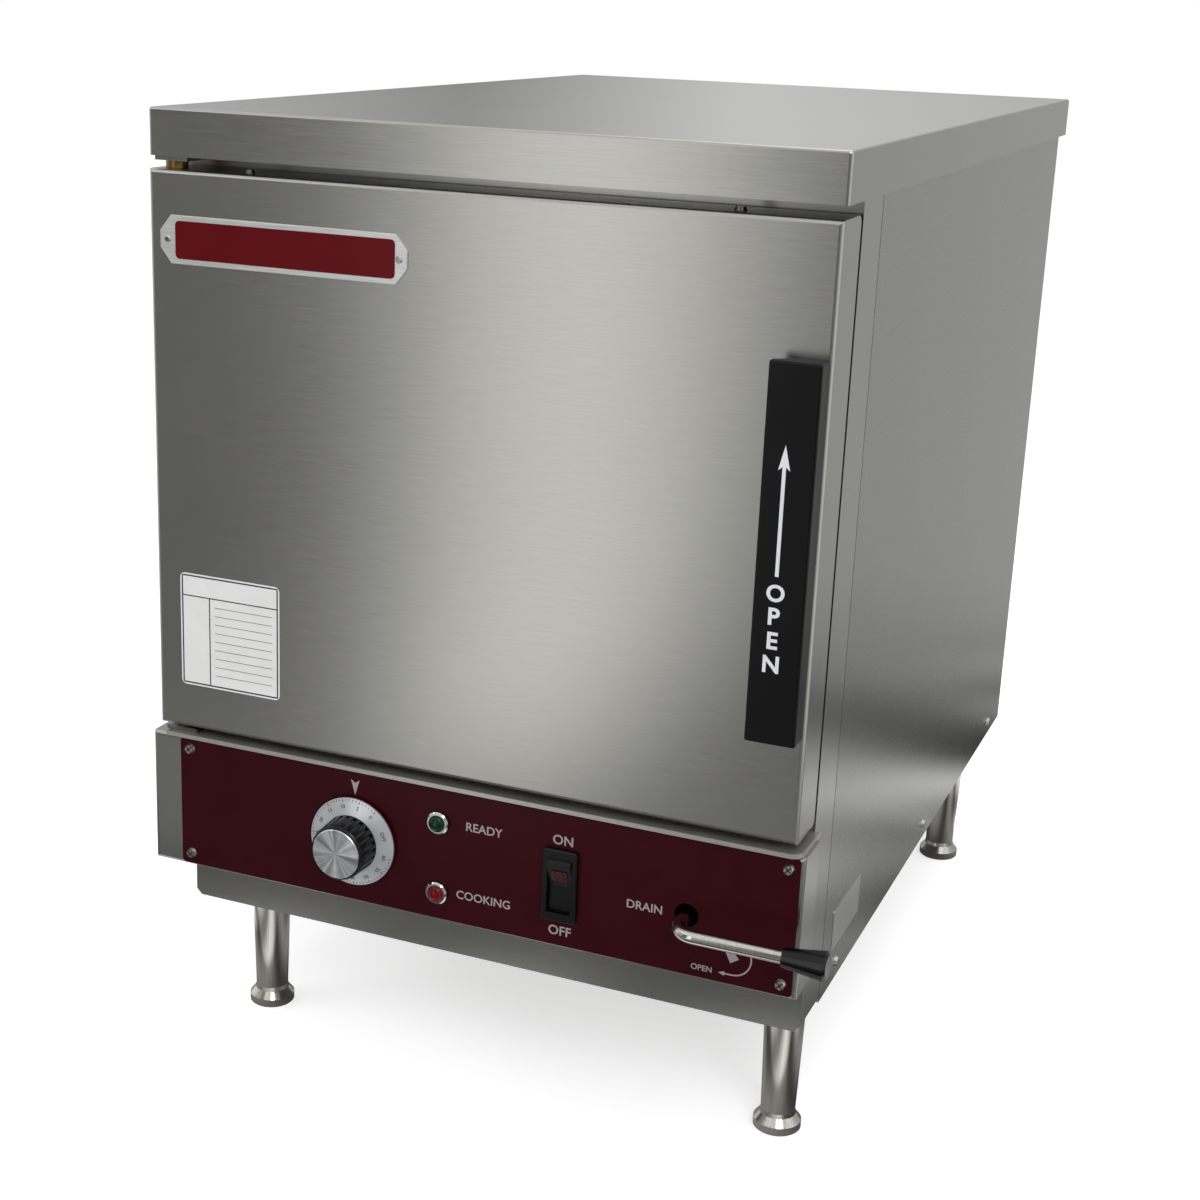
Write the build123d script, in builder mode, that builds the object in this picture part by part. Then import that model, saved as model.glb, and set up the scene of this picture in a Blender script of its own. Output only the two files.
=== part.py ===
from build123d import *
from math import atan2, cos, radians, sin
import os

# Countertop convection steamer with one hinged door, in millimetres, +Z up.
# The front faces -Y. Cabinet places are measured from the middle of the cabinet's width,
# from the face of its front frame, and from the floor.

os.makedirs("parts", exist_ok=True)

# Cabinet
case_width = 454.4
case_depth = 665.0
leg_height = 109.0
sheet = 1.2
frame_sheet = 1.5
frame_return = 45.0
frame_chamfer = 4.0
seam = 0.3
rear_return = 15.0
base_flange = 18.0
back_panel_inset = 2.0

# Lid
lid_above_door = 38.0
lid_flange = 30.0
lid_front_overhang = 39.0
lid_back_overhang = 29.0
lid_side_overhang = 1.4
lid_bend = 2.5
lid_hem = 12.0

# Door
door_thickness = 38.0
door_gap = 4.1
door_bottom = 256.5
door_height = 375.5
door_bend = 3.0
door_rear_radius = 5.0
door_sheet = 1.2
inner_panel_inset = 5.6
core_clearance = 0.6
door_screw_x = 162.0

# Hinge
hinge_edge = 11.2
hinge_set_forward = 2.6
hinge_pin_radius = 5.0
hinge_running = 0.05
hinge_pin_depth = 12.0
hinge_bush_height = 14.0
hinge_bush_depth = 24.0
washer_radius = 7.2
washer_clearance = 0.2
bracket_plate = 3.0
bracket_width = 24.0
bracket_rise = 25.0
bracket_shift = 2.0

# Steam cavity
cavity_half_width = 176.0
motor_room = 75.0
cavity_floor = 258.0
cavity_sill = 282.0
cavity_ceiling_drop = 26.0
cavity_corner = 8.0
insulation_side = 21.0
insulation_top = 36.0
gasket_width = 15.0
gasket_margin = 4.0
gasket_clearance = 0.3
gasket_corner = 20.0
gasket_inner_corner = 8.0
gasket_edge = 1.2

# Pan racks
rack_wire = 3.0
rack_post_radius = 3.5
rack_post_end = 4.0
rack_wall_gap = 1.0
rack_reach = 14.0
rack_front = 40.0
rack_back_gap = 22.0
rack_levels = 4
rack_first = 312.0
rack_pitch = 72.0
rack_headroom = 21.0
rack_bottom = 275.0
rack_stud_radius = 4.0
rack_studs = (150.0, 420.0)

# Fan
fan_height = 432.0
fan_radius = 72.0
fan_eye = 40.0
fan_blades = 12
fan_blade_depth = 16.0
fan_blade_lean = 35.0
fan_plate = 1.5
fan_wall_gap = 4.5
fan_hub_radius = 11.0
fan_shaft_radius = 5.0
fan_running = 0.05
fan_wall_hole_gap = 1.0
fan_room = 38.0
baffle_half_width = 165.0
baffle_post_radius = 4.0
baffle_post_x = 150.0
baffle_post_inset = 20.0
baffle_slots = 12
baffle_slot_length = 26.0
baffle_slot_width = 7.0
baffle_floor_gap = 4.0
baffle_roof_gap = 6.0
motor_radius = 42.0
motor_flange_radius = 54.0
motor_flange = 3.0
motor_length = 56.0
motor_bore_end = 2.0
motor_chamfer = 4.0

# Heating elements
element_radius = 4.0
element_bend = 30.0
element_offset = 75.0
element_front = 110.0
element_back_gap = 45.0
clamp_inset = 60.0
clamp_width = 16.0
clamp_sheet = 2.0

# Control panel
panel_bottom = 153.5
panel_top = 249.0
panel_depth = 42.0
panel_bend = 3.0
panel_window = 18.5
overlay_sheet = 0.6
panel_side_proud = 6.3
panel_side_gap = 10.0
overlay_left = 22.5
overlay_right = 2.5
overlay_margin = 2.0
overlay_top_margin = 0.6
overlay_corner = 3.0
overlay_screw_inset = 7.5
ledge_sheet = 1.0
ledge_lip = 3.0
ledge_nose = 3.0
ledge_left = -221.0
ledge_right = 231.5
ledge_corner = 8.0

# Timer and its knob
timer_x = -75.0
timer_z = 199.5
timer_case_size = 52.0
timer_case_depth = 36.0
timer_case_corner = 4.0
timer_nut_radius = 8.0
timer_nut = 1.6
shaft_end_gap = 1.0
timer_bush_radius = 5.0
timer_bush_front = 45.0
timer_shaft_radius = 3.2
timer_running = 0.05
timer_shaft_front = 60.0
timer_shaft_back = 30.0
skirt_radius = 31.0
skirt_sheet = 1.2
skirt_edge_front = 46.6
skirt_face_front = 50.0
knob_radius = 19.0
knob_back_radius = 20.0
knob_front = 68.5
knob_flutes = 24
flute_radius = 1.3
knob_cap_radius = 17.2
knob_cap_sheet = 1.5
knob_cap_chamfer = 0.6
knob_edge = 1.0
flute_start = 1.0

# Pilot lamps
lamp_x = -13.0
ready_z = 224.5
cooking_z = 174.5
bezel_radius = 7.8
bezel_height = 3.4
bezel_chamfer = 0.9
lens_radius = 5.6
lens_height = 5.0
lens_round = 1.8
lamp_case_radius = 6.2
lamp_case_length = 26.0

# Rocker switch
switch_x = 74.5
switch_z = 198.5
switch_width = 24.0
switch_height = 50.0
switch_bezel = 3.4
switch_corner = 2.5
switch_edge = 1.0
switch_case_width = 21.0
switch_case_height = 46.0
switch_case_back = 10.0
rocker_pivot = 36.0
rocker_width = 16.0
rocker_radius = 21.0
rocker_tilt = 9.0
rocker_clearance = 0.4
rocker_dip = 6.5
rocker_end = 9.5
rocker_back = 2.0
rocker_pin_radius = 1.5
rocker_pin_reach = 1.5
rocker_lens_width = 11.0
rocker_lens_span = (4.5, 12.5)
rocker_lens_height = 0.6

# Drain lever, valve and pipe
drain_x = 160.0
drain_z = 196.0
drain_depth = 60.0
lever_stand = 28.0
lever_rod_radius = 4.3
lever_bend = 14.0
grip_start = 231.0
grip_end = 259.0
grip_socket = 12.0
grip_small = 6.0
grip_large = 9.6
grip_edge = (1.5, 2.0)
drain_hole_radius = 8.0
valve_radius = 16.0
valve_hex_radius = 19.0
valve_hex_height = 9.0
valve_length = 44.0
valve_bore = 7.0
valve_neck_radius = 8.0
valve_neck_front = 36.0
plug_radius = 11.0
plug_half = 9.5
plug_clearance = 0.3
plug_bore = 6.0
stem_radius = 4.0
stem_running = 0.05
stem_front = 31.0
drain_pipe_radius = 10.0
drain_pipe_wall = 2.0
drain_pipe_bend = 24.0
drain_pipe_z = 141.0
drain_stub_radius = 7.0
drain_flange_radius = 14.0
drain_flange = 1.5
drain_thread_radius = 10.65
drain_thread = 18.0
tail = 20.0

# Other outlets at the back
vent_x = -110.0
vent_drop = 26.0
vent_radius = 9.0
gland_x = -170.0
gland_rise = 56.0
gland_bore = 7.0
gland_radius = 10.5
gland_hex_radius = 15.0
gland_hex_height = 6.0
outlet_clearance = 0.8

# Electrical pieces on the base
contactor_x = -130.0
contactor_y = 230.0
contactor_size = (48.0, 60.0, 34.0)
contactor_top = (48.0, 36.0, 22.0)
terminal_x = -130.0
terminal_inset = 65.0
terminal_size = (72.0, 22.0, 14.0)
terminal_wall = 3.0
terminal_wall_height = 8.0
terminal_pitch = 15.0
terminal_wall_count = 5

# Door handle and latch
handle_width = 31.5
handle_back_width = 16.5
handle_depth = 16.4
handle_bottom = 325.0
handle_height = 229.0
handle_edge = 1.7
handle_lip = 3.0
handle_round = 1.5
handle_lift = 15.0
handle_slide_gap = 0.3
stud_radius = 4.0
stud_spacing = 130.0
latch_x = 215.0
latch_bar_width = 12.0
latch_plate = 3.0
latch_bar_front = 36.3
latch_bar_bottom = 350.0
latch_bar_top = 560.0
hook_low = 375.0
hook_high = 515.0
hook_height = 12.0
hook_drop = 4.0
hook_nose = 4.0
hook_reach = 14.0
hook_ramp = 7.2
spring_rod = 27.0
slot_clearance = 4.0
door_slot_clearance = 1.0
keeper_pin_radius = 2.5
keeper_pin_depth = 6.0
keeper_clearance = 0.5
keeper_cheek = 1.5
keeper_rise = 6.0
keeper_side_gap = 0.5
keeper_depth = 12.0
guide_width = 18.0
guide_depth = 11.4
guide_height = 10.0
guide_clearance = 0.3
spring_rod_radius = 2.0
spring_collar_radius = 5.0
spring_collar = 2.0
spring_radius = 4.0
spring_wire = 0.8
spring_length = 30.0
spring_turns = 5

# Legs and adjustable feet
leg_x = 201.0
leg_front = 62.0
leg_back_inset = 92.0
leg_top_radius = 14.6
leg_low_radius = 12.0
foot_radius = 16.6
foot_height = 15.0
foot_rim = 7.0
foot_chamfer = 1.5
foot_stem_radius = 6.0
foot_stem_length = 45.0
foot_running = 0.1
foot_neck = 0.6
foot_neck_rise = 3.0
foot_stem_end = 2.0

# Fasteners
screw_head_radius = 3.9
screw_head_height = 2.2
screw_radius = 2.0
screw_hole = 2.2
screw_end = 4.0
screw_taper = 25
side_screw_rise = 13.0
side_screw_front = 84.0
side_screw_middle = 347.0
side_screw_back_inset = 56.0
back_screw_x = 218.0
back_screw_rows = (130.0, 290.0, 450.0, 610.0)

# Louvres in the back panel
louvre_length = 80.0
louvre_rise = 8.0
louvre_stand = 6.0
louvre_pitch = 18.0
louvre_count = 6
louvre_columns = (-100.0, 20.0)
louvre_first = 200.0

# Worked out from the sizes above
case_half = case_width / 2
door_top = door_bottom + door_height
lid_top = door_top + lid_above_door
case_top = lid_top - sheet
cavity_ceiling = door_top - cavity_ceiling_drop
cavity_back = case_depth - motor_room
baffle_depth = cavity_back - fan_room
element_back = cavity_back - element_back_gap
rack_back = baffle_depth - rack_back_gap
rack_top = cavity_ceiling - rack_headroom
vent_z = cavity_ceiling - vent_drop
gland_z = leg_height + gland_rise
terminal_y = case_depth - terminal_inset
leg_back = case_depth - leg_back_inset
side_screw_z = leg_height + side_screw_rise
side_screw_depths = (side_screw_front, side_screw_middle, case_depth - side_screw_back_inset)
lid_half = case_half + lid_side_overhang
lid_back = case_depth + lid_back_overhang
lid_bottom = lid_top - lid_flange
door_front = -door_gap - door_thickness
door_inside = door_front + door_sheet
inner_front = -door_gap - door_sheet
hinge_x = hinge_edge - case_half
hinge_y = door_front + door_thickness / 2 - hinge_set_forward
bracket_bottom = lid_bottom - bracket_plate
lower_bracket_top = panel_top + ledge_sheet + bracket_plate
panel_half = case_half + panel_side_proud
panel_inside = sheet - panel_depth
overlay_front = -panel_depth - overlay_sheet
lever_y = -panel_depth - lever_stand
rear_face = case_depth + sheet
handle_right = case_half - handle_edge
handle_back = door_front - handle_slide_gap
hook_levels = (hook_low, hook_high)
hook_slot_rise = hook_height + handle_lift
stud_middle = handle_bottom + handle_height / 2
stud_levels = (stud_middle - stud_spacing / 2, stud_middle + stud_spacing / 2)
fan_back = cavity_back - fan_wall_gap
leg_places = {
    "front_left": (-leg_x, leg_front),
    "front_right": (leg_x, leg_front),
    "back_left": (-leg_x, leg_back),
    "back_right": (leg_x, leg_back),
}

# The origin is on the floor, under the middle of the whole steamer's box.
centre_x = (panel_half - grip_end) / 2
centre_y = (grip_large - lever_y - lid_back) / 2


def level(height):
    """Horizontal plane: the sketch's x runs right and its y runs back."""
    return Plane(origin=(centre_x, centre_y, height))


def facing(depth):
    """Upright plane seen from the front: x runs right, y runs up, the normal points forward."""
    return Plane(origin=(centre_x, centre_y + depth, 0), x_dir=(1, 0, 0), z_dir=(0, -1, 0))


def across(x):
    """Upright plane seen from the right: x runs back, y runs up, the normal points right."""
    return Plane(origin=(centre_x + x, centre_y, 0), x_dir=(0, 1, 0), z_dir=(1, 0, 0))


def depth_axis(x, z):
    """Axis that runs straight back through a place on the front."""
    return Axis((centre_x + x, centre_y, z), (0, 1, 0))


def upright_axis(x, y):
    """Vertical axis through a place on the plan."""
    return Axis((centre_x + x, centre_y + y, 0), (0, 0, 1))


def span(low_x, high_x, low_y, high_y, mode=Mode.ADD):
    """Rectangle between two corners of the current sketch."""
    with Locations(((low_x + high_x) / 2, (low_y + high_y) / 2)):
        Rectangle(high_x - low_x, high_y - low_y, mode=mode)


def outline(*points, mode=Mode.ADD):
    """Closed straight-sided face in the current sketch."""
    Polygon(*points, align=None, mode=mode)


def dots(radius, *places, mode=Mode.ADD):
    """Equal circles in the current sketch."""
    with Locations(*places):
        Circle(radius, mode=mode)


def pan_head(plane, places, reach):
    """Pan-head screws whose heads stand on a plane, with shanks that reach behind it."""
    with BuildSketch(plane) as heads:
        dots(screw_head_radius, *places)
    extrude(heads.sketch, amount=screw_head_height, taper=screw_taper)
    with BuildSketch(plane) as shanks:
        dots(screw_radius, *places)
    extrude(shanks.sketch, amount=-reach)


def save(piece, label):
    """Label a finished piece and write it to its own file."""
    piece.part.label = label
    export_step(piece.part, f"parts/{label}.step")


# Lid: a folded sheet with four flanges, hemmed where it overhangs front and back
with BuildPart() as lid:
    with BuildSketch(level(lid_top)):
        span(-lid_half, lid_half, -lid_front_overhang, lid_back)
    extrude(amount=-lid_flange)
    fillet(lid.edges().filter_by(Axis.Z), lid_bend)
    fillet(lid.faces().sort_by(Axis.Z)[-1].edges(), lid_bend - sheet / 2)
    with BuildSketch(level(lid_bottom)):
        lid_inner = lid_half - sheet
        span(-lid_inner, lid_inner, sheet - lid_front_overhang, lid_back - sheet)
    extrude(amount=lid_flange - sheet, mode=Mode.SUBTRACT)
    with BuildSketch(level(lid_bottom)):
        hem_half = lid_half - sheet - lid_bend
        hem_lap = sheet / 2
        span(-hem_half, hem_half, hem_lap - lid_front_overhang, lid_hem - lid_front_overhang)
        span(-hem_half, hem_half, lid_back - lid_hem, lid_back - hem_lap)
    extrude(amount=sheet)
save(lid, "lid")

# Front frame: one folded sheet round the cavity window, with slots for the latch hooks
with BuildPart() as front_frame:
    with BuildSketch(facing(0)) as frame_face:
        span(-case_half, case_half, leg_height, case_top)
        chamfer(frame_face.vertices().group_by(Axis.Y)[0], frame_chamfer)
    extrude(amount=-frame_return)
    offset(amount=-frame_sheet, openings=front_frame.faces().sort_by(Axis.Y)[-1])
    with BuildSketch(facing(0)) as frame_windows:
        span(-cavity_half_width, cavity_half_width, cavity_sill, cavity_ceiling)
        fillet(frame_windows.vertices(), cavity_corner)
        span(
            panel_window - case_half,
            case_half - panel_window,
            panel_bottom + sheet + panel_bend,
            panel_top - sheet - panel_bend,
        )
        slot_half = latch_plate / 2 + slot_clearance
        for hook in hook_levels:
            span(
                latch_x - slot_half,
                latch_x + slot_half,
                hook - hook_drop - slot_clearance,
                hook + hook_slot_rise + slot_clearance,
            )
    extrude(amount=-frame_sheet, mode=Mode.SUBTRACT)
save(front_frame, "front_frame")

# Side panels: an outer wall and a rear return each, with holes for their lower screws
for side, side_name in ((-1, "side_panel_left"), (1, "side_panel_right")):
    with BuildPart() as side_panel:
        with BuildSketch(level(leg_height)):
            wall = sorted((side * (case_half - sheet), side * case_half))
            back_edge = sorted((side * (case_half - rear_return), side * case_half))
            span(*wall, frame_return + seam, case_depth)
            span(*back_edge, case_depth - sheet, case_depth)
        extrude(amount=case_top - leg_height)
        with BuildSketch(across(side * case_half)):
            dots(screw_hole, *[(y, side_screw_z) for y in side_screw_depths])
        extrude(amount=sheet, both=True, mode=Mode.SUBTRACT)
    save(side_panel, side_name)

# Base pan: a tray between the side panels that carries the legs and the electrical pieces
base_half = case_half - sheet
with BuildPart() as base_pan:
    with BuildSketch(level(leg_height)):
        span(-base_half, base_half, frame_return + seam, case_depth - sheet)
    extrude(amount=base_flange)
    offset(amount=-frame_sheet, openings=base_pan.faces().sort_by(Axis.Z)[-1])
    for side in (-1, 1):
        with BuildSketch(across(side * base_half)):
            dots(screw_hole, *[(y, side_screw_z) for y in side_screw_depths])
        extrude(amount=frame_sheet, both=True, mode=Mode.SUBTRACT)
save(base_pan, "base_pan")

# Back panel: louvred, with holes for the drain, the vent and the supply
def louvre_wedge(foot, inset):
    """Wedge section of one louvre hood, open at its lower side, on an upright side plane."""
    outline(
        (rear_face, foot + louvre_rise - inset),
        (rear_face + louvre_stand - inset, foot),
        (rear_face, foot),
    )


louvre_feet = [louvre_first + louvre_pitch * row for row in range(louvre_count)]
back_half = case_half - back_panel_inset
with BuildPart() as back_panel:
    with BuildSketch(facing(case_depth)) as back_sheet:
        span(-back_half, back_half, leg_height + back_panel_inset, lid_bottom - back_panel_inset)
        dots(drain_pipe_radius + outlet_clearance, (drain_x, drain_pipe_z), mode=Mode.SUBTRACT)
        dots(vent_radius + outlet_clearance, (vent_x, vent_z), mode=Mode.SUBTRACT)
        dots(gland_radius + outlet_clearance, (gland_x, gland_z), mode=Mode.SUBTRACT)
        screw_places = [(x, z) for z in back_screw_rows for x in (-back_screw_x, back_screw_x)]
        dots(screw_hole, *screw_places, mode=Mode.SUBTRACT)
    extrude(amount=-sheet)
    for column in louvre_columns:
        with BuildSketch(across(column)):
            for foot in louvre_feet:
                louvre_wedge(foot, 0)
        extrude(amount=louvre_length)
        with BuildSketch(across(column + sheet)):
            for foot in louvre_feet:
                louvre_wedge(foot, sheet)
        extrude(amount=louvre_length - 2 * sheet, mode=Mode.SUBTRACT)
        with BuildSketch(facing(case_depth)):
            for foot in louvre_feet:
                span(column + sheet, column + louvre_length - sheet, foot, foot + louvre_rise - 2 * sheet)
        extrude(amount=-sheet, mode=Mode.SUBTRACT)
save(back_panel, "back_panel")

# Screws of the side panels and of the back panel
with BuildPart() as side_screws:
    for side in (-1, 1):
        outward = Plane(
            origin=(centre_x + side * case_half, centre_y, 0), x_dir=(0, side, 0), z_dir=(side, 0, 0)
        )
        places = [(side * y, side_screw_z) for y in side_screw_depths]
        pan_head(outward, places, sheet + frame_sheet + screw_end)
save(side_screws, "side_screws")

with BuildPart() as back_screws:
    outward = Plane(origin=(centre_x, centre_y + rear_face, 0), x_dir=(-1, 0, 0), z_dir=(0, 1, 0))
    pan_head(outward, screw_places, sheet)
save(back_screws, "back_screws")


# Steam cavity: a welded box, open at the front above a sill that holds water in a well
cavity_outer = cavity_half_width + sheet
with BuildPart() as steam_cavity:
    with BuildSketch(facing(frame_sheet)) as cavity_section:
        span(-cavity_outer, cavity_outer, cavity_floor - sheet, cavity_ceiling + sheet)
        fillet(cavity_section.vertices(), cavity_corner + sheet)
    extrude(amount=frame_sheet - cavity_back - sheet)
    with BuildSketch(facing(frame_sheet + sheet)) as cavity_space:
        span(-cavity_half_width, cavity_half_width, cavity_floor, cavity_ceiling)
        fillet(cavity_space.vertices(), cavity_corner)
    extrude(amount=frame_sheet + sheet - cavity_back, mode=Mode.SUBTRACT)
    with BuildSketch(facing(frame_sheet)) as cavity_mouth:
        span(-cavity_half_width, cavity_half_width, cavity_sill, cavity_ceiling)
        fillet(cavity_mouth.vertices(), cavity_corner)
    extrude(amount=-sheet, mode=Mode.SUBTRACT)
    with BuildSketch(level(cavity_floor)):
        dots(drain_stub_radius, (drain_x, drain_depth))
    extrude(amount=-sheet, mode=Mode.SUBTRACT)
    with BuildSketch(facing(cavity_back)):
        dots(fan_shaft_radius + fan_wall_hole_gap, (0, fan_height))
        dots(vent_radius - sheet, (vent_x, vent_z))
    extrude(amount=-sheet, mode=Mode.SUBTRACT)
    for side in (-1, 1):
        with BuildSketch(across(side * cavity_half_width)):
            dots(rack_stud_radius, *[(y, rack_top - rack_wire - rack_stud_radius) for y in rack_studs])
        extrude(amount=-side * (rack_wall_gap + 2 * rack_wire))
save(steam_cavity, "steam_cavity")

# Cavity insulation: a wrap over the top and down both sides
insulation_half = cavity_outer + insulation_side
with BuildPart() as cavity_insulation:
    with BuildSketch(facing(frame_sheet + seam)):
        insulation_low = cavity_floor - sheet
        span(-insulation_half, insulation_half, insulation_low, cavity_ceiling + sheet + insulation_top)
        span(-cavity_outer, cavity_outer, insulation_low, cavity_ceiling + sheet, mode=Mode.SUBTRACT)
    extrude(amount=frame_sheet + seam - cavity_back)
save(cavity_insulation, "cavity_insulation")

# Heating elements: two tubular hairpins clamped under the cavity floor
element_z = cavity_floor - sheet - element_radius
with BuildPart() as heating_elements:
    for middle in (-element_offset, element_offset):
        low_x = middle - element_bend
        high_x = middle + element_bend
        with BuildLine(level(element_z)) as hairpin:
            Line((low_x, element_back), (low_x, element_front + element_bend))
            RadiusArc(
                (low_x, element_front + element_bend),
                (high_x, element_front + element_bend),
                -element_bend,
            )
            Line((high_x, element_front + element_bend), (high_x, element_back))
        with BuildSketch(facing(element_back)):
            dots(element_radius, (low_x, element_z))
        sweep()
    for clamp_y in (element_front + clamp_inset, element_back - clamp_inset):
        with BuildSketch(level(element_z - element_radius)):
            for middle in (-element_offset, element_offset):
                reach = element_bend + 2 * element_radius
                span(middle - reach, middle + reach, clamp_y - clamp_width / 2, clamp_y + clamp_width / 2)
        extrude(amount=-clamp_sheet)
save(heating_elements, "heating_elements")

# Fan baffle: a plate with an eye of radial slots, on four posts
baffle_low = cavity_floor + baffle_floor_gap
baffle_high = cavity_ceiling - baffle_roof_gap
post_places = [
    (x, z)
    for x in (-baffle_post_x, baffle_post_x)
    for z in (baffle_low + baffle_post_inset, baffle_high - baffle_post_inset)
]
with BuildPart() as fan_baffle:
    with BuildSketch(facing(baffle_depth)):
        span(-baffle_half_width, baffle_half_width, baffle_low, baffle_high)
        with Locations((0, fan_height)):
            with PolarLocations(fan_eye * 0.75, baffle_slots):
                SlotOverall(baffle_slot_length, baffle_slot_width, mode=Mode.SUBTRACT)
    extrude(amount=-sheet)
    with BuildSketch(facing(baffle_depth + sheet)):
        dots(baffle_post_radius, *post_places)
    extrude(amount=baffle_depth + sheet - cavity_back)
save(fan_baffle, "fan_baffle")

# Fan wheel: backplate, hub and leaning blades
blade_mid = (fan_eye + fan_radius) / 2
with BuildPart() as fan_wheel:
    with BuildSketch(facing(fan_back)):
        dots(fan_radius, (0, fan_height))
    extrude(amount=fan_plate)
    with BuildSketch(facing(fan_back - fan_plate)):
        dots(fan_hub_radius, (0, fan_height))
        with Locations((0, fan_height)):
            with PolarLocations(blade_mid, fan_blades):
                Rectangle(fan_radius - fan_eye, fan_plate, rotation=fan_blade_lean)
    extrude(amount=fan_blade_depth)
    with BuildSketch(facing(fan_back)):
        dots(fan_shaft_radius, (0, fan_height))
    extrude(amount=fan_plate + fan_blade_depth, mode=Mode.SUBTRACT)
save(fan_wheel, "fan_wheel")

# Fan shaft and motor behind the cavity's rear wall
motor_front = cavity_back + sheet
with BuildPart() as fan_shaft:
    with BuildSketch(facing(fan_back - fan_plate - fan_blade_depth)):
        dots(fan_shaft_radius, (0, fan_height))
    extrude(amount=fan_back - fan_plate - fan_blade_depth - motor_front - motor_length / 2)
save(fan_shaft, "fan_shaft")

with BuildPart() as fan_motor:
    with BuildSketch(facing(motor_front)):
        dots(motor_flange_radius, (0, fan_height))
    extrude(amount=-motor_flange)
    with BuildSketch(facing(motor_front + motor_flange)):
        dots(motor_radius, (0, fan_height))
    extrude(amount=motor_flange - motor_length)
    chamfer(fan_motor.faces().sort_by(Axis.Y)[-1].edges(), motor_chamfer)
    with BuildSketch(facing(motor_front)):
        dots(fan_shaft_radius + fan_running, (0, fan_height))
    extrude(amount=-motor_length / 2 - motor_bore_end, mode=Mode.SUBTRACT)
save(fan_motor, "fan_motor")

# Pan racks: wire frames that hang by their top wires on the cavity's studs, one at each side
rack_x = cavity_half_width - rack_wall_gap - rack_wire
runner_x = rack_x - rack_reach
rack_heights = [rack_first + rack_pitch * row for row in range(rack_levels)]
for side, side_name in ((-1, "pan_rack_left"), (1, "pan_rack_right")):
    with BuildPart() as pan_rack:
        for height in rack_heights:
            with BuildLine(level(height)) as runner:
                FilletPolyline(
                    (side * rack_x, rack_front),
                    (side * runner_x, rack_front),
                    (side * runner_x, rack_back),
                    (side * rack_x, rack_back),
                    radius=rack_reach / 2,
                )
            with BuildSketch(across(side * rack_x)):
                dots(rack_wire, (rack_front, height))
            sweep()
        with BuildSketch(level(rack_bottom)):
            dots(rack_post_radius, (side * rack_x, rack_front), (side * rack_x, rack_back))
        extrude(amount=rack_top + rack_post_end - rack_bottom)
        with BuildSketch(facing(rack_front)):
            dots(rack_wire, (side * rack_x, rack_top))
        extrude(amount=rack_front - rack_back)
    save(pan_rack, side_name)

# Door skin: a folded tray, closed at the front, with holes for the hinge pins and the handle
def rear_corner(corner_z, turn):
    """The waste outside the round on a rear corner of the door's side return."""
    reach = door_rear_radius
    low_z, high_z = sorted((corner_z, corner_z + turn * reach))
    span(-door_gap - reach, -door_gap, low_z, high_z)
    with Locations((-door_gap - reach, corner_z + turn * reach)):
        Circle(reach, mode=Mode.SUBTRACT)


stud_slots = [(latch_x, z + handle_lift / 2) for z in stud_levels]
with BuildPart() as door_skin:
    with BuildSketch(facing(-door_gap)):
        span(-case_half, case_half, door_bottom, door_top)
    extrude(amount=door_thickness)
    fillet(door_skin.faces().sort_by(Axis.Y)[0].edges(), door_bend)
    offset(amount=-door_sheet, openings=door_skin.faces().sort_by(Axis.Y)[-1])
    for side in (-1, 1):
        with BuildSketch(across(side * case_half)):
            for corner_z, turn in ((door_bottom, 1), (door_top, -1)):
                rear_corner(corner_z, turn)
        extrude(amount=door_sheet, both=True, mode=Mode.SUBTRACT)
    for end in (door_bottom, door_top):
        with BuildSketch(level(end)):
            dots(hinge_pin_radius + hinge_running, (hinge_x, hinge_y))
            dots(screw_hole, (-door_screw_x, hinge_y), (door_screw_x, hinge_y))
        extrude(amount=door_sheet, both=True, mode=Mode.SUBTRACT)
    with BuildSketch(facing(door_front)):
        with Locations(*stud_slots):
            slot_width = 2 * (stud_radius + guide_clearance)
            SlotOverall(handle_lift + slot_width, slot_width, rotation=90)
    extrude(amount=-door_sheet, mode=Mode.SUBTRACT)
save(door_skin, "door_skin")

# Door inner panel: closes the tray, with slots for the latch hooks
with BuildPart() as door_inner:
    with BuildSketch(facing(-door_gap)):
        inner_half = case_half - door_sheet
        span(-inner_half, inner_half, door_bottom + inner_panel_inset, door_top - inner_panel_inset)
        door_slot_half = latch_plate / 2 + door_slot_clearance
        for hook in hook_levels:
            span(
                latch_x - door_slot_half,
                latch_x + door_slot_half,
                hook - hook_drop - door_slot_clearance,
                hook + hook_slot_rise + door_slot_clearance,
                mode=Mode.SUBTRACT,
            )
    extrude(amount=door_sheet)
save(door_inner, "door_inner")

# Door core: the insulation slab, clear of the hinge bushes and of the latch
latch_space = latch_x - latch_bar_width / 2 - core_clearance - (guide_width - latch_bar_width) / 2
with BuildPart() as door_core:
    with BuildSketch(facing(inner_front - core_clearance)):
        bush_level = door_sheet + hinge_bush_height + core_clearance
        span(
            door_sheet + core_clearance - case_half,
            latch_space,
            door_bottom + inner_panel_inset,
            door_top - inner_panel_inset,
        )
        pocket_right = door_sheet + hinge_bush_depth + core_clearance - case_half
        span(-case_half, pocket_right, door_bottom, door_bottom + bush_level, mode=Mode.SUBTRACT)
        span(-case_half, pocket_right, door_top - bush_level, door_top, mode=Mode.SUBTRACT)
    extrude(amount=inner_front - 2 * core_clearance - door_inside)
save(door_core, "door_core")

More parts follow.
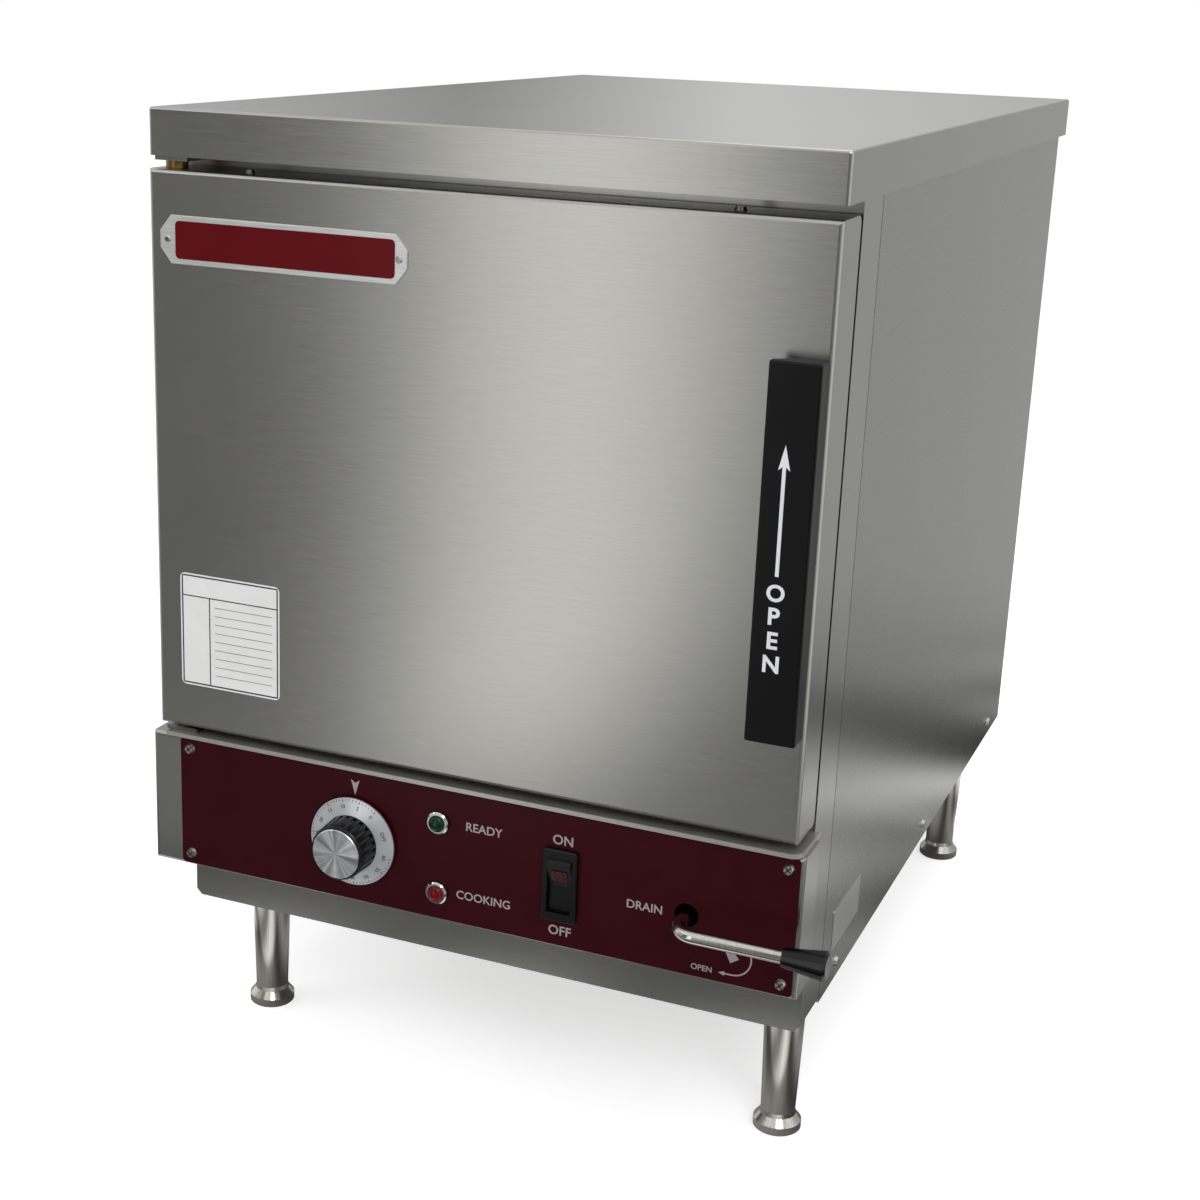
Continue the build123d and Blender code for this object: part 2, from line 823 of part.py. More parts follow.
# Hinge bushes inside the door, under its top edge and over its bottom edge
with BuildPart() as hinge_bushes:
    for low_z in (door_bottom + door_sheet, door_top - door_sheet - hinge_bush_height):
        with BuildSketch(level(low_z)):
            bush_left = door_sheet - case_half
            bush_half = hinge_bush_depth / 2
            span(bush_left, bush_left + hinge_bush_depth, hinge_y - bush_half, hinge_y + bush_half)
            dots(hinge_pin_radius + hinge_running, (hinge_x, hinge_y), mode=Mode.SUBTRACT)
        extrude(amount=hinge_bush_height)
save(hinge_bushes, "hinge_bushes")

# Door gasket: a soft ring that faces the frame all round the cavity window
with BuildPart() as door_gasket:
    with BuildSketch(facing(-door_gap)):
        for reach, corner, use in (
            (gasket_margin + gasket_width, gasket_corner, Mode.ADD),
            (gasket_margin, gasket_inner_corner, Mode.SUBTRACT),
        ):
            with BuildSketch(mode=Mode.PRIVATE) as ring:
                span(
                    -cavity_half_width - reach,
                    cavity_half_width + reach,
                    cavity_sill - reach,
                    cavity_ceiling + reach,
                )
                fillet(ring.vertices(), corner)
            add(ring.sketch, mode=use)
    extrude(amount=gasket_clearance - door_gap)
    fillet(door_gasket.faces().sort_by(Axis.Y)[-1].edges(), gasket_edge)
save(door_gasket, "door_gasket")

# Door screws in the top and bottom edges
with BuildPart() as door_screws:
    door_screw_places = [(-door_screw_x, hinge_y), (door_screw_x, hinge_y)]
    pan_head(level(door_top), door_screw_places, door_sheet)
    bottom_edge = Plane(origin=(centre_x, centre_y, door_bottom), x_dir=(1, 0, 0), z_dir=(0, 0, -1))
    pan_head(bottom_edge, [(x, -y) for x, y in door_screw_places], door_sheet)
save(door_screws, "door_screws")

# Hinge brackets on the frame: one above the door, one on the ledge below it
bracket_left = hinge_x - bracket_width / 2 + bracket_shift
bracket_front = hinge_y - washer_radius - bracket_plate
with BuildPart() as hinge_brackets:
    with BuildSketch(level(bracket_bottom)):
        span(bracket_left, bracket_left + bracket_width, bracket_front, 0)
    extrude(amount=bracket_plate)
    with BuildSketch(level(lid_bottom)):
        span(bracket_left, bracket_left + bracket_width, -bracket_plate, 0)
    extrude(amount=bracket_rise)
    with BuildSketch(level(lower_bracket_top)):
        span(bracket_left, bracket_left + bracket_width, bracket_front, 0)
    extrude(amount=-bracket_plate)
save(hinge_brackets, "hinge_brackets")

# Hinge pins, with the brass washers that carry and space the door
with BuildPart() as hinge_pins:
    with BuildSketch(level(bracket_bottom)):
        dots(hinge_pin_radius, (hinge_x, hinge_y))
    extrude(amount=door_top - hinge_pin_depth - bracket_bottom)
    with BuildSketch(level(lower_bracket_top)):
        dots(hinge_pin_radius, (hinge_x, hinge_y))
    extrude(amount=door_bottom + hinge_pin_depth - lower_bracket_top)
save(hinge_pins, "hinge_pins")

with BuildPart() as hinge_washers:
    for low_z, high_z in (
        (door_top + washer_clearance, bracket_bottom),
        (lower_bracket_top, door_bottom - washer_clearance),
    ):
        for half in (low_z, (low_z + high_z) / 2):
            with BuildSketch(level(half)):
                dots(washer_radius, (hinge_x, hinge_y))
                dots(hinge_pin_radius + hinge_running, (hinge_x, hinge_y), mode=Mode.SUBTRACT)
            extrude(amount=(high_z - low_z) / 2 - hinge_running)
save(hinge_washers, "hinge_washers")

# Door handle: a moulded bar whose left side slants back for the fingers
handle_left_front = handle_right - handle_width
handle_left_back = handle_right - handle_back_width
handle_front = handle_back - handle_depth
with BuildPart() as door_handle:
    with BuildSketch(level(handle_bottom)):
        outline(
            (handle_left_back, handle_back),
            (handle_right, handle_back),
            (handle_right, handle_front),
            (handle_left_front, handle_front),
            (handle_left_front, handle_front + handle_lip),
        )
    extrude(amount=handle_height)
    fillet(door_handle.edges().filter_by(Axis.Z).group_by(Axis.Y)[0], handle_round)
    fillet(door_handle.edges().group_by(Axis.Z)[-1].group_by(Axis.Y)[0], handle_round)
    fillet(door_handle.edges().group_by(Axis.Z)[0].group_by(Axis.Y)[0], handle_round)
save(door_handle, "door_handle")

# Latch bar: slides in the door with the handle and carries the studs, the hooks and a spring rod
bar_back = -latch_bar_front + latch_plate
rod_y = -latch_bar_front + latch_plate / 2
with BuildPart() as latch_bar:
    with BuildSketch(facing(bar_back)):
        bar_half = latch_bar_width / 2
        span(latch_x - bar_half, latch_x + bar_half, latch_bar_bottom, latch_bar_top)
    extrude(amount=latch_plate)
    with BuildSketch(facing(-latch_bar_front)):
        dots(stud_radius, *[(latch_x, z) for z in stud_levels])
    extrude(amount=-handle_back - latch_bar_front)
    with BuildSketch(across(latch_x - latch_plate / 2)):
        for hook in hook_levels:
            outline(
                (bar_back, hook),
                (hook_reach - hook_nose, hook),
                (hook_reach - hook_nose, hook - hook_drop),
                (hook_reach - hook_nose / 2, hook - hook_drop),
                (hook_reach, hook - hook_drop / 2),
                (hook_reach, hook + hook_ramp),
                (hook_reach - hook_nose, hook + hook_height),
                (bar_back, hook + hook_height),
            )
    extrude(amount=latch_plate)
    with BuildSketch(level(latch_bar_top)):
        dots(spring_collar_radius, (latch_x, rod_y))
    extrude(amount=spring_collar)
    with BuildSketch(level(latch_bar_top + spring_collar)):
        dots(spring_rod_radius, (latch_x, rod_y))
    extrude(amount=spring_rod)
save(latch_bar, "latch_bar")

# Latch guides inside the door: a stop under the bar, a slotted guide and the spring's anchor
guide_left = latch_x - guide_width / 2
guide_right = latch_x + guide_width / 2
anchor_z = latch_bar_top + spring_collar + spring_length
guide_z = (latch_bar_bottom + latch_bar_top - guide_height) / 2
with BuildPart() as latch_guides:
    for low_z, height in (
        (latch_bar_bottom - bracket_plate, bracket_plate),
        (guide_z, guide_height),
        (anchor_z, bracket_plate),
    ):
        with BuildSketch(level(low_z)):
            span(guide_left, guide_right, door_inside, door_inside + guide_depth)
        extrude(amount=height)
    with BuildSketch(level(guide_z)):
        slot_half = latch_bar_width / 2 + guide_clearance
        span(
            latch_x - slot_half,
            latch_x + slot_half,
            -latch_bar_front - guide_clearance,
            bar_back + guide_clearance,
        )
    extrude(amount=guide_height, mode=Mode.SUBTRACT)
    with BuildSketch(level(anchor_z)):
        dots(spring_rod_radius + guide_clearance, (latch_x, rod_y))
    extrude(amount=bracket_plate, mode=Mode.SUBTRACT)
save(latch_guides, "latch_guides")

# Latch spring: one coil between the bar's collar and the anchor
coil_low = latch_bar_top + spring_collar + spring_wire
coil_height = spring_length - 2 * spring_wire
with BuildPart() as latch_spring:
    with BuildLine():
        coil = Helix(
            pitch=coil_height / spring_turns,
            height=coil_height,
            radius=spring_radius,
            center=(centre_x + latch_x, centre_y + rod_y, coil_low),
        )
    with BuildSketch(Plane(origin=coil @ 0, z_dir=coil % 0)):
        RegularPolygon(spring_wire, 4)
    sweep(is_frenet=True)
save(latch_spring, "latch_spring")

# Latch keepers behind the frame's slots: two cheeks and a pin under each hook
with BuildPart() as latch_keepers:
    cheek_in = latch_plate / 2 + slot_clearance + keeper_side_gap
    for hook in hook_levels:
        pin_z = hook - hook_drop - keeper_clearance - keeper_pin_radius
        pin_y = frame_sheet + keeper_pin_depth
        for low_x in (latch_x - cheek_in - keeper_cheek, latch_x + cheek_in):
            with BuildSketch(across(low_x)):
                span(frame_sheet, frame_sheet + keeper_depth, pin_z - keeper_rise, pin_z + keeper_rise)
            extrude(amount=keeper_cheek)
        with BuildSketch(across(latch_x - cheek_in)):
            dots(keeper_pin_radius, (pin_y, pin_z))
        extrude(amount=2 * cheek_in)
save(latch_keepers, "latch_keepers")

# Control panel: a folded box below the door, open at the back, pierced for the controls
switch_hole = (switch_case_width / 2 + seam, switch_case_height / 2 + seam)
with BuildPart() as control_panel:
    with BuildSketch(facing(0)):
        span(-panel_half, panel_half, panel_bottom, panel_top)
    extrude(amount=panel_depth)
    fillet(control_panel.faces().sort_by(Axis.Y)[0].edges(), panel_bend)
    offset(amount=-sheet, openings=control_panel.faces().sort_by(Axis.Y)[-1])
    with BuildSketch(level(panel_bottom)):
        for side in (-1, 1):
            span(*sorted((side * case_half, side * panel_half)), -panel_side_gap, 0)
    extrude(amount=panel_top - panel_bottom, mode=Mode.SUBTRACT)
    with BuildSketch(facing(-panel_depth)):
        dots(timer_bush_radius + guide_clearance, (timer_x, timer_z))
        dots(lamp_case_radius + guide_clearance, (lamp_x, ready_z), (lamp_x, cooking_z))
        dots(drain_hole_radius, (drain_x, drain_z))
        with Locations((switch_x, switch_z)):
            Rectangle(2 * switch_hole[0], 2 * switch_hole[1])
    extrude(amount=-sheet, mode=Mode.SUBTRACT)
save(control_panel, "control_panel")

# Overlay: a thin printed sheet on the control panel, held by four screws
overlay_low_x = overlay_left - panel_half
overlay_high_x = panel_half - overlay_right
overlay_low_z = panel_bottom + overlay_margin
overlay_high_z = panel_top - overlay_top_margin
overlay_screw_places = [
    (x, z)
    for x in (overlay_low_x + overlay_screw_inset, overlay_high_x - overlay_screw_inset)
    for z in (overlay_low_z + overlay_screw_inset, overlay_high_z - overlay_screw_inset)
]
with BuildPart() as panel_overlay:
    with BuildSketch(facing(-panel_depth)) as overlay_face:
        span(overlay_low_x, overlay_high_x, overlay_low_z, overlay_high_z)
        fillet(overlay_face.vertices(), overlay_corner)
        dots(timer_bush_radius + guide_clearance, (timer_x, timer_z), mode=Mode.SUBTRACT)
        lamp_places = [(lamp_x, ready_z), (lamp_x, cooking_z)]
        dots(lamp_case_radius + guide_clearance, *lamp_places, mode=Mode.SUBTRACT)
        dots(drain_hole_radius, (drain_x, drain_z), mode=Mode.SUBTRACT)
        with Locations((switch_x, switch_z)):
            Rectangle(2 * switch_hole[0], 2 * switch_hole[1], mode=Mode.SUBTRACT)
    extrude(amount=overlay_sheet)
save(panel_overlay, "panel_overlay")

with BuildPart() as overlay_screws:
    with BuildSketch(facing(overlay_front)) as heads:
        dots(screw_head_radius, *overlay_screw_places)
    extrude(heads.sketch, amount=screw_head_height, taper=screw_taper)
save(overlay_screws, "overlay_screws")

# Ledge: a shallow drip tray on top of the control panel, under the door, open at the hinge end
with BuildPart() as drip_ledge:
    with BuildSketch(level(panel_top)) as ledge_plan:
        span(ledge_left, ledge_right, -panel_depth - ledge_nose, 0)
        fillet(ledge_plan.vertices().group_by(Axis.Y)[0].sort_by(Axis.X)[-1], ledge_corner)
    extrude(amount=ledge_lip)
    open_sides = [
        drip_ledge.faces().sort_by(Axis.X)[0],
        drip_ledge.faces().sort_by(Axis.Y)[-1],
        drip_ledge.faces().sort_by(Axis.Z)[-1],
    ]
    offset(amount=-ledge_sheet, openings=open_sides)
save(drip_ledge, "drip_ledge")

# Timer case behind the panel, with its threaded bush
with BuildPart() as timer_unit:
    with BuildSketch(facing(panel_inside)):
        with Locations((timer_x, timer_z)):
            Rectangle(timer_case_size, timer_case_size)
    extrude(amount=-timer_case_depth)
    fillet(timer_unit.edges().filter_by(Axis.Y), timer_case_corner)
    with BuildSketch(facing(panel_inside)):
        dots(timer_bush_radius, (timer_x, timer_z))
    extrude(amount=panel_inside + timer_bush_front)
    with BuildSketch(facing(overlay_front)):
        with Locations((timer_x, timer_z)):
            RegularPolygon(timer_nut_radius, 6)
        dots(timer_bush_radius, (timer_x, timer_z), mode=Mode.SUBTRACT)
    extrude(amount=timer_nut)
    with BuildSketch(facing(-timer_bush_front)):
        dots(timer_shaft_radius + timer_running, (timer_x, timer_z))
    extrude(amount=timer_shaft_back - timer_bush_front - shaft_end_gap, mode=Mode.SUBTRACT)
save(timer_unit, "timer_unit")

# Timer shaft, dial skirt, fluted grip and spun cap
with BuildPart() as timer_shaft:
    with BuildSketch(facing(-timer_shaft_back)):
        dots(timer_shaft_radius, (timer_x, timer_z))
    extrude(amount=timer_shaft_front - timer_shaft_back)
save(timer_shaft, "timer_shaft")

with BuildPart() as dial_skirt:
    with BuildSketch(across(timer_x)):
        outline(
            (-skirt_face_front, timer_z + timer_shaft_radius),
            (-skirt_face_front, timer_z + knob_back_radius),
            (-skirt_edge_front, timer_z + skirt_radius),
            (skirt_sheet - skirt_edge_front, timer_z + skirt_radius),
            (skirt_sheet - skirt_face_front, timer_z + knob_back_radius),
            (skirt_sheet - skirt_face_front, timer_z + timer_shaft_radius),
        )
    revolve(axis=depth_axis(timer_x, timer_z))
save(dial_skirt, "dial_skirt")

with BuildPart() as knob_grip:
    with BuildSketch(across(timer_x)):
        outline(
            (-skirt_face_front, timer_z),
            (-skirt_face_front, timer_z + knob_back_radius),
            (knob_edge - knob_front, timer_z + knob_radius),
            (-knob_front, timer_z + knob_radius - knob_edge),
            (-knob_front, timer_z),
        )
    revolve(axis=depth_axis(timer_x, timer_z))
    with BuildSketch(facing(-skirt_face_front - flute_start)):
        with Locations((timer_x, timer_z)):
            with PolarLocations(knob_back_radius, knob_flutes):
                Circle(flute_radius)
    extrude(amount=knob_front, mode=Mode.SUBTRACT)
    with BuildSketch(facing(-skirt_face_front)):
        dots(timer_shaft_radius, (timer_x, timer_z))
    extrude(amount=timer_shaft_front - skirt_face_front, mode=Mode.SUBTRACT)
save(knob_grip, "knob_grip")

with BuildPart() as knob_cap:
    with BuildSketch(facing(-knob_front)):
        dots(knob_cap_radius, (timer_x, timer_z))
    extrude(amount=knob_cap_sheet)
    chamfer(knob_cap.faces().sort_by(Axis.Y)[0].edges(), knob_cap_chamfer)
save(knob_cap, "knob_cap")

# Pilot lamps: chrome bezels with their cases behind the panel, and a domed lens in each
with BuildPart() as lamp_bezels:
    with BuildSketch(facing(overlay_front)):
        dots(bezel_radius, *lamp_places)
    extrude(amount=bezel_height)
    chamfer(lamp_bezels.faces().group_by(Axis.Y)[0].edges(), bezel_chamfer)
    with BuildSketch(facing(overlay_front)):
        dots(lamp_case_radius, *lamp_places)
    extrude(amount=-lamp_case_length)
    with BuildSketch(facing(overlay_front)):
        dots(lens_radius, *lamp_places)
    extrude(amount=bezel_height, mode=Mode.SUBTRACT)
save(lamp_bezels, "lamp_bezels")

for lamp_z, lens_name in ((ready_z, "ready_lens"), (cooking_z, "cooking_lens")):
    with BuildPart() as lamp_lens:
        with BuildSketch(facing(overlay_front)):
            dots(lens_radius, (lamp_x, lamp_z))
        extrude(amount=lens_height)
        fillet(lamp_lens.faces().sort_by(Axis.Y)[0].edges(), lens_round)
    save(lamp_lens, lens_name)

# Rocker switch: a bezelled case with a round-backed pocket, and the rocker that tilts in it
with BuildPart() as switch_housing:
    with BuildSketch(facing(overlay_front)) as bezel_face:
        with Locations((switch_x, switch_z)):
            Rectangle(switch_width, switch_height)
        fillet(bezel_face.vertices(), switch_corner)
    extrude(amount=switch_bezel)
    fillet(switch_housing.faces().sort_by(Axis.Y)[0].edges(), switch_edge)
    with BuildSketch(facing(overlay_front)):
        with Locations((switch_x, switch_z)):
            Rectangle(switch_case_width, switch_case_height)
    extrude(amount=overlay_front + switch_case_back)
    pocket_half = rocker_width / 2 + rocker_clearance
    with BuildSketch(across(switch_x - pocket_half)):
        dots(rocker_radius + rocker_clearance, (-rocker_pivot, switch_z))
    extrude(amount=2 * pocket_half, mode=Mode.SUBTRACT)
    with BuildSketch(across(switch_x - switch_case_width / 2)):
        dots(rocker_pin_radius + guide_clearance, (-rocker_pivot, switch_z))
    extrude(amount=switch_case_width, mode=Mode.SUBTRACT)
save(switch_housing, "switch_housing")


def rocker_plane(x):
    """Side plane through the rocker's pivot, turned by its resting tilt."""
    tilt = radians(rocker_tilt)
    return Plane(
        origin=(centre_x + x, centre_y - rocker_pivot, switch_z),
        x_dir=(0, cos(tilt), sin(tilt)),
        z_dir=(1, 0, 0),
    )


rocker_low_x = switch_x - rocker_width / 2
rocker_end_z = (rocker_radius**2 - rocker_end**2) ** 0.5
rocker_back_z = (rocker_radius**2 - rocker_back**2) ** 0.5
rocker_pin_end = rocker_clearance + rocker_pin_reach
with BuildPart() as rocker:
    with BuildSketch(rocker_plane(rocker_low_x)):
        with BuildLine():
            Polyline((-rocker_end, -rocker_end_z), (-rocker_dip, 0), (-rocker_end, rocker_end_z))
            RadiusArc((-rocker_end, rocker_end_z), (rocker_back, rocker_back_z), rocker_radius)
            Line((rocker_back, rocker_back_z), (rocker_back, -rocker_back_z))
            RadiusArc((rocker_back, -rocker_back_z), (-rocker_end, -rocker_end_z), rocker_radius)
        make_face()
    extrude(amount=rocker_width)
    with BuildSketch(rocker_plane(rocker_low_x - rocker_pin_end)):
        Circle(rocker_pin_radius)
    extrude(amount=rocker_width + 2 * rocker_pin_end)
save(rocker, "rocker")

lens_slope = atan2(rocker_end - rocker_dip, rocker_end_z)
lens_face = [
    (-rocker_dip - along * sin(lens_slope), along * cos(lens_slope)) for along in rocker_lens_span
]
lens_step = (rocker_lens_height * cos(lens_slope), rocker_lens_height * sin(lens_slope))
with BuildPart() as rocker_lens:
    with BuildSketch(rocker_plane(switch_x - rocker_lens_width / 2)):
        outline(
            lens_face[0],
            lens_face[1],
            (lens_face[1][0] - lens_step[0], lens_face[1][1] - lens_step[1]),
            (lens_face[0][0] - lens_step[0], lens_face[0][1] - lens_step[1]),
        )
    extrude(amount=rocker_lens_width)
save(rocker_lens, "rocker_lens")

# Drain lever: a bent rod from the valve's stem, with a tapered grip
with BuildPart() as drain_rod:
    with BuildLine(level(drain_z)):
        FilletPolyline(
            (drain_x, stem_front),
            (drain_x, lever_y),
            (grip_start + grip_socket, lever_y),
            radius=lever_bend,
        )
    with BuildSketch(facing(stem_front)):
        dots(lever_rod_radius, (drain_x, drain_z))
    sweep()
save(drain_rod, "drain_rod")

grip_axis = Axis((centre_x, centre_y + lever_y, drain_z), (1, 0, 0))
with BuildPart() as drain_grip:
    with BuildSketch(level(drain_z)):
        outline(
            (grip_start, lever_y + lever_rod_radius),
            (grip_start, lever_y + grip_small),
            (grip_end - grip_edge[0], lever_y + grip_large),
            (grip_end, lever_y + grip_large - grip_edge[1]),
            (grip_end, lever_y),
            (grip_start + grip_socket, lever_y),
            (grip_start + grip_socket, lever_y + lever_rod_radius),
        )
    revolve(axis=grip_axis)
save(drain_grip, "drain_grip")

# Drain valve: a brass body with hexagon ends, and the bored plug that turns in it on its stem
with BuildPart() as drain_valve:
    with BuildSketch(level(drain_z - valve_length / 2)):
        dots(valve_radius, (drain_x, drain_depth))
    extrude(amount=valve_length)
    for low_z in (drain_z - valve_length / 2, drain_z + valve_length / 2 - valve_hex_height):
        with BuildSketch(level(low_z)):
            with Locations((drain_x, drain_depth)):
                RegularPolygon(valve_hex_radius, 6)
        extrude(amount=valve_hex_height)
    with BuildSketch(facing(drain_depth)):
        dots(valve_neck_radius, (drain_x, drain_z))
    extrude(amount=drain_depth - valve_neck_front)
    with BuildSketch(level(drain_z - valve_length / 2)):
        dots(valve_bore, (drain_x, drain_depth))
    extrude(amount=valve_length, mode=Mode.SUBTRACT)
    with BuildSketch(facing(drain_depth)):
        dots(stem_radius + stem_running, (drain_x, drain_z))
    extrude(amount=drain_depth - valve_neck_front, mode=Mode.SUBTRACT)
    with BuildSketch(facing(drain_depth - plug_half - plug_clearance)):
        dots(plug_radius + stem_running, (drain_x, drain_z))
    extrude(amount=-2 * (plug_half + plug_clearance), mode=Mode.SUBTRACT)
save(drain_valve, "drain_valve")

with BuildPart() as valve_plug:
    with BuildSketch(facing(drain_depth - plug_half)):
        dots(plug_radius, (drain_x, drain_z))
    extrude(amount=-2 * plug_half)
    with BuildSketch(facing(drain_depth)):
        dots(stem_radius, (drain_x, drain_z))
    extrude(amount=drain_depth - stem_front)
    with BuildSketch(across(drain_x)):
        dots(plug_bore, (drain_depth, drain_z))
    extrude(amount=plug_radius, both=True, mode=Mode.SUBTRACT)
save(valve_plug, "valve_plug")

# Drain pipe: a flanged stub from the cavity to the valve, and the bent run to the back
with BuildPart() as drain_pipe:
    stub_low = drain_z + valve_length / 2
    stub_high = cavity_floor - sheet
    with BuildSketch(level(stub_low)):
        dots(drain_stub_radius + drain_pipe_wall, (drain_x, drain_depth))
    extrude(amount=stub_high - stub_low)
    with BuildSketch(level(stub_high - drain_flange)):
        dots(drain_flange_radius, (drain_x, drain_depth))
    extrude(amount=drain_flange)
    with BuildSketch(level(stub_low)):
        dots(drain_stub_radius, (drain_x, drain_depth))
    extrude(amount=stub_high - stub_low, mode=Mode.SUBTRACT)
    for radius, use in (
        (drain_pipe_radius, Mode.ADD),
        (drain_pipe_radius - drain_pipe_wall, Mode.SUBTRACT),
    ):
        with BuildLine(across(drain_x)):
            FilletPolyline(
                (drain_depth, drain_z - valve_length / 2),
                (drain_depth, drain_pipe_z),
                (rear_face + tail, drain_pipe_z),
                radius=drain_pipe_bend,
            )
        with BuildSketch(level(drain_z - valve_length / 2)):
            dots(radius, (drain_x, drain_depth))
        sweep(mode=use)
    with BuildSketch(facing(rear_face + tail)):
        dots(drain_thread_radius, (drain_x, drain_pipe_z))
        dots(drain_pipe_radius - drain_pipe_wall, (drain_x, drain_pipe_z), mode=Mode.SUBTRACT)
    extrude(amount=drain_thread)
save(drain_pipe, "drain_pipe")

# Vent pipe from the cavity's rear wall to the back
with BuildPart() as vent_pipe:
    with BuildSketch(facing(cavity_back + sheet)):
        dots(vent_radius, (vent_x, vent_z))
        dots(vent_radius - sheet, (vent_x, vent_z), mode=Mode.SUBTRACT)
    extrude(amount=cavity_back + sheet - rear_face - tail)
save(vent_pipe, "vent_pipe")

# Supply gland at the back: a hexagon, a nose and a threaded stub, bored for the supply
with BuildPart() as supply_gland:
    for depth, length, radius in (
        (rear_face, gland_hex_height, None),
        (rear_face + gland_hex_height, tail - gland_hex_height, gland_radius),
        (rear_face, -sheet - gland_hex_height, gland_radius),
    ):
        with BuildSketch(facing(depth)):
            with Locations((gland_x, gland_z)):
                if radius is None:
                    RegularPolygon(gland_hex_radius, 6)
                else:
                    Circle(radius)
        extrude(amount=-length)
    with BuildSketch(facing(rear_face + tail)):
        dots(gland_bore, (gland_x, gland_z))
    extrude(amount=tail + sheet + gland_hex_height, mode=Mode.SUBTRACT)
save(supply_gland, "supply_gland")

# Contactor and terminal block, standing in the base pan
base_floor = leg_height + frame_sheet
with BuildPart() as contactor:
    height = base_floor
    for width, depth, rise in (contactor_size, contactor_top):
        with BuildSketch(level(height)):
            with Locations((contactor_x, contactor_y)):
                Rectangle(width, depth)
        extrude(amount=rise)
        height += rise
save(contactor, "contactor")

with BuildPart() as terminal_block:
    with BuildSketch(level(base_floor)):
        with Locations((terminal_x, terminal_y)):
            Rectangle(terminal_size[0], terminal_size[1])
    extrude(amount=terminal_size[2])
    with BuildSketch(level(base_floor + terminal_size[2])):
        with Locations((terminal_x, terminal_y)):
            with GridLocations(terminal_pitch, 1, terminal_wall_count, 1):
                Rectangle(terminal_wall, terminal_size[1])
    extrude(amount=terminal_wall_height)
save(terminal_block, "terminal_block")

# Legs: tapered tubes under the base pan
stem_top = foot_height + foot_stem_length
with BuildPart() as legs:
    for x, y in leg_places.values():
        with BuildSketch(facing(y)):
            outline(
                (x, foot_height),
                (x + leg_low_radius, foot_height),
                (x + leg_top_radius, leg_height),
                (x, leg_height),
            )
        revolve(axis=upright_axis(x, y))
        with BuildSketch(level(foot_height)):
            dots(foot_stem_radius + foot_running, (x, y))
        extrude(amount=foot_stem_length + foot_stem_end, mode=Mode.SUBTRACT)
save(legs, "legs")

# Adjustable feet: a flared, rimmed foot on a stem that screws into each leg
for corner, (x, y) in leg_places.items():
    with BuildPart() as foot:
        with BuildSketch(facing(y)):
            outline(
                (x, 0),
                (x + foot_radius - foot_chamfer, 0),
                (x + foot_radius, foot_chamfer),
                (x + foot_radius, foot_rim),
                (x + leg_low_radius + foot_neck, foot_height - foot_neck_rise),
                (x + leg_low_radius, foot_height),
                (x + foot_stem_radius, foot_height),
                (x + foot_stem_radius, stem_top),
                (x, stem_top),
            )
        revolve(axis=upright_axis(x, y))
    save(foot, f"foot_{corner}")
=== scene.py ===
from math import cos, pi, radians, sin

import bmesh
import bpy
from mathutils import Matrix, Vector
from mathutils.bvhtree import BVHTree


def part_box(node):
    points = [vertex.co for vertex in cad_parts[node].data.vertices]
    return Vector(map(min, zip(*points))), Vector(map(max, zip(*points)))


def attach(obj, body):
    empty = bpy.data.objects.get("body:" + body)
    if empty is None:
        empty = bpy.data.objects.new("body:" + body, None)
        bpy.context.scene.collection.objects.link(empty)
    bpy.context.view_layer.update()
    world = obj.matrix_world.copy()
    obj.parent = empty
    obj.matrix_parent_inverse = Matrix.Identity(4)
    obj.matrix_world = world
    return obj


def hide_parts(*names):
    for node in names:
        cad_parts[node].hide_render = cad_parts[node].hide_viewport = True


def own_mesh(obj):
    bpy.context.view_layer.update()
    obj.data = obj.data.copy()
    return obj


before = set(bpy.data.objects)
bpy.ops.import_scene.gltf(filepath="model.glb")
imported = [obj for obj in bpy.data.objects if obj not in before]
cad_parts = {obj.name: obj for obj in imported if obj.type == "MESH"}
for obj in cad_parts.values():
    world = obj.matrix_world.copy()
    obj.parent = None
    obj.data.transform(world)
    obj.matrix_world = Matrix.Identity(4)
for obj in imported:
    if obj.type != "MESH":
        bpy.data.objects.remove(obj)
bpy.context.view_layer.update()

# A countertop convection steamer. Places on it are measured in millimetres from the middle of
# the cabinet's width, from the face of its front frame and from the floor.

MM = 0.001
# In millimetres.
PRINT_DEPTH = 0.04
LABEL_DEPTH = 0.15
PLATE_DEPTH = 1.2
SCREW_HEAD = 2.2
KNOB_X, KNOB_Z = -75.0, 199.5
DRAIN_MARK_X = 192.0
# How far the roughness of a moulding strays to either side.
MOULDED_SPREAD = 0.03
# Points of a piece that are closer than this, in the units it is drawn in, become one.
MERGE_WITHIN = 1e-4

FRAME_LOW, FRAME_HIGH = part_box("front_frame")
CENTRE_X = (FRAME_LOW.x + FRAME_HIGH.x) / 2
FACE_Y = FRAME_LOW.y
OVERLAY_Y = (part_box("panel_overlay")[0].y - FACE_Y) / MM
DOOR_Y = (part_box("door_skin")[0].y - FACE_Y) / MM
HANDLE_Y = (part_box("door_handle")[0].y - FACE_Y) / MM
SIDE_X = (FRAME_HIGH.x - CENTRE_X) / MM


def at(x, y, z):
    """A place on the steamer, in metres."""
    return Vector((CENTRE_X + x * MM, FACE_Y + y * MM, z * MM))


def front_place(x, y, z):
    """Turns a piece drawn flat to face forward, with its own x to the right and its y up."""
    turn = Matrix(((1, 0, 0), (0, 0, -1), (0, 1, 0))).to_4x4()
    return Matrix.Translation(at(x, y, z)) @ turn @ Matrix.Scale(MM, 4)


def side_place(x, y, z):
    """Turns a piece drawn flat to face right, with its own x to the back and its y up."""
    turn = Matrix(((0, 0, 1), (1, 0, 0), (0, 1, 0))).to_4x4()
    return Matrix.Translation(at(x, y, z)) @ turn @ Matrix.Scale(MM, 4)


# Materials


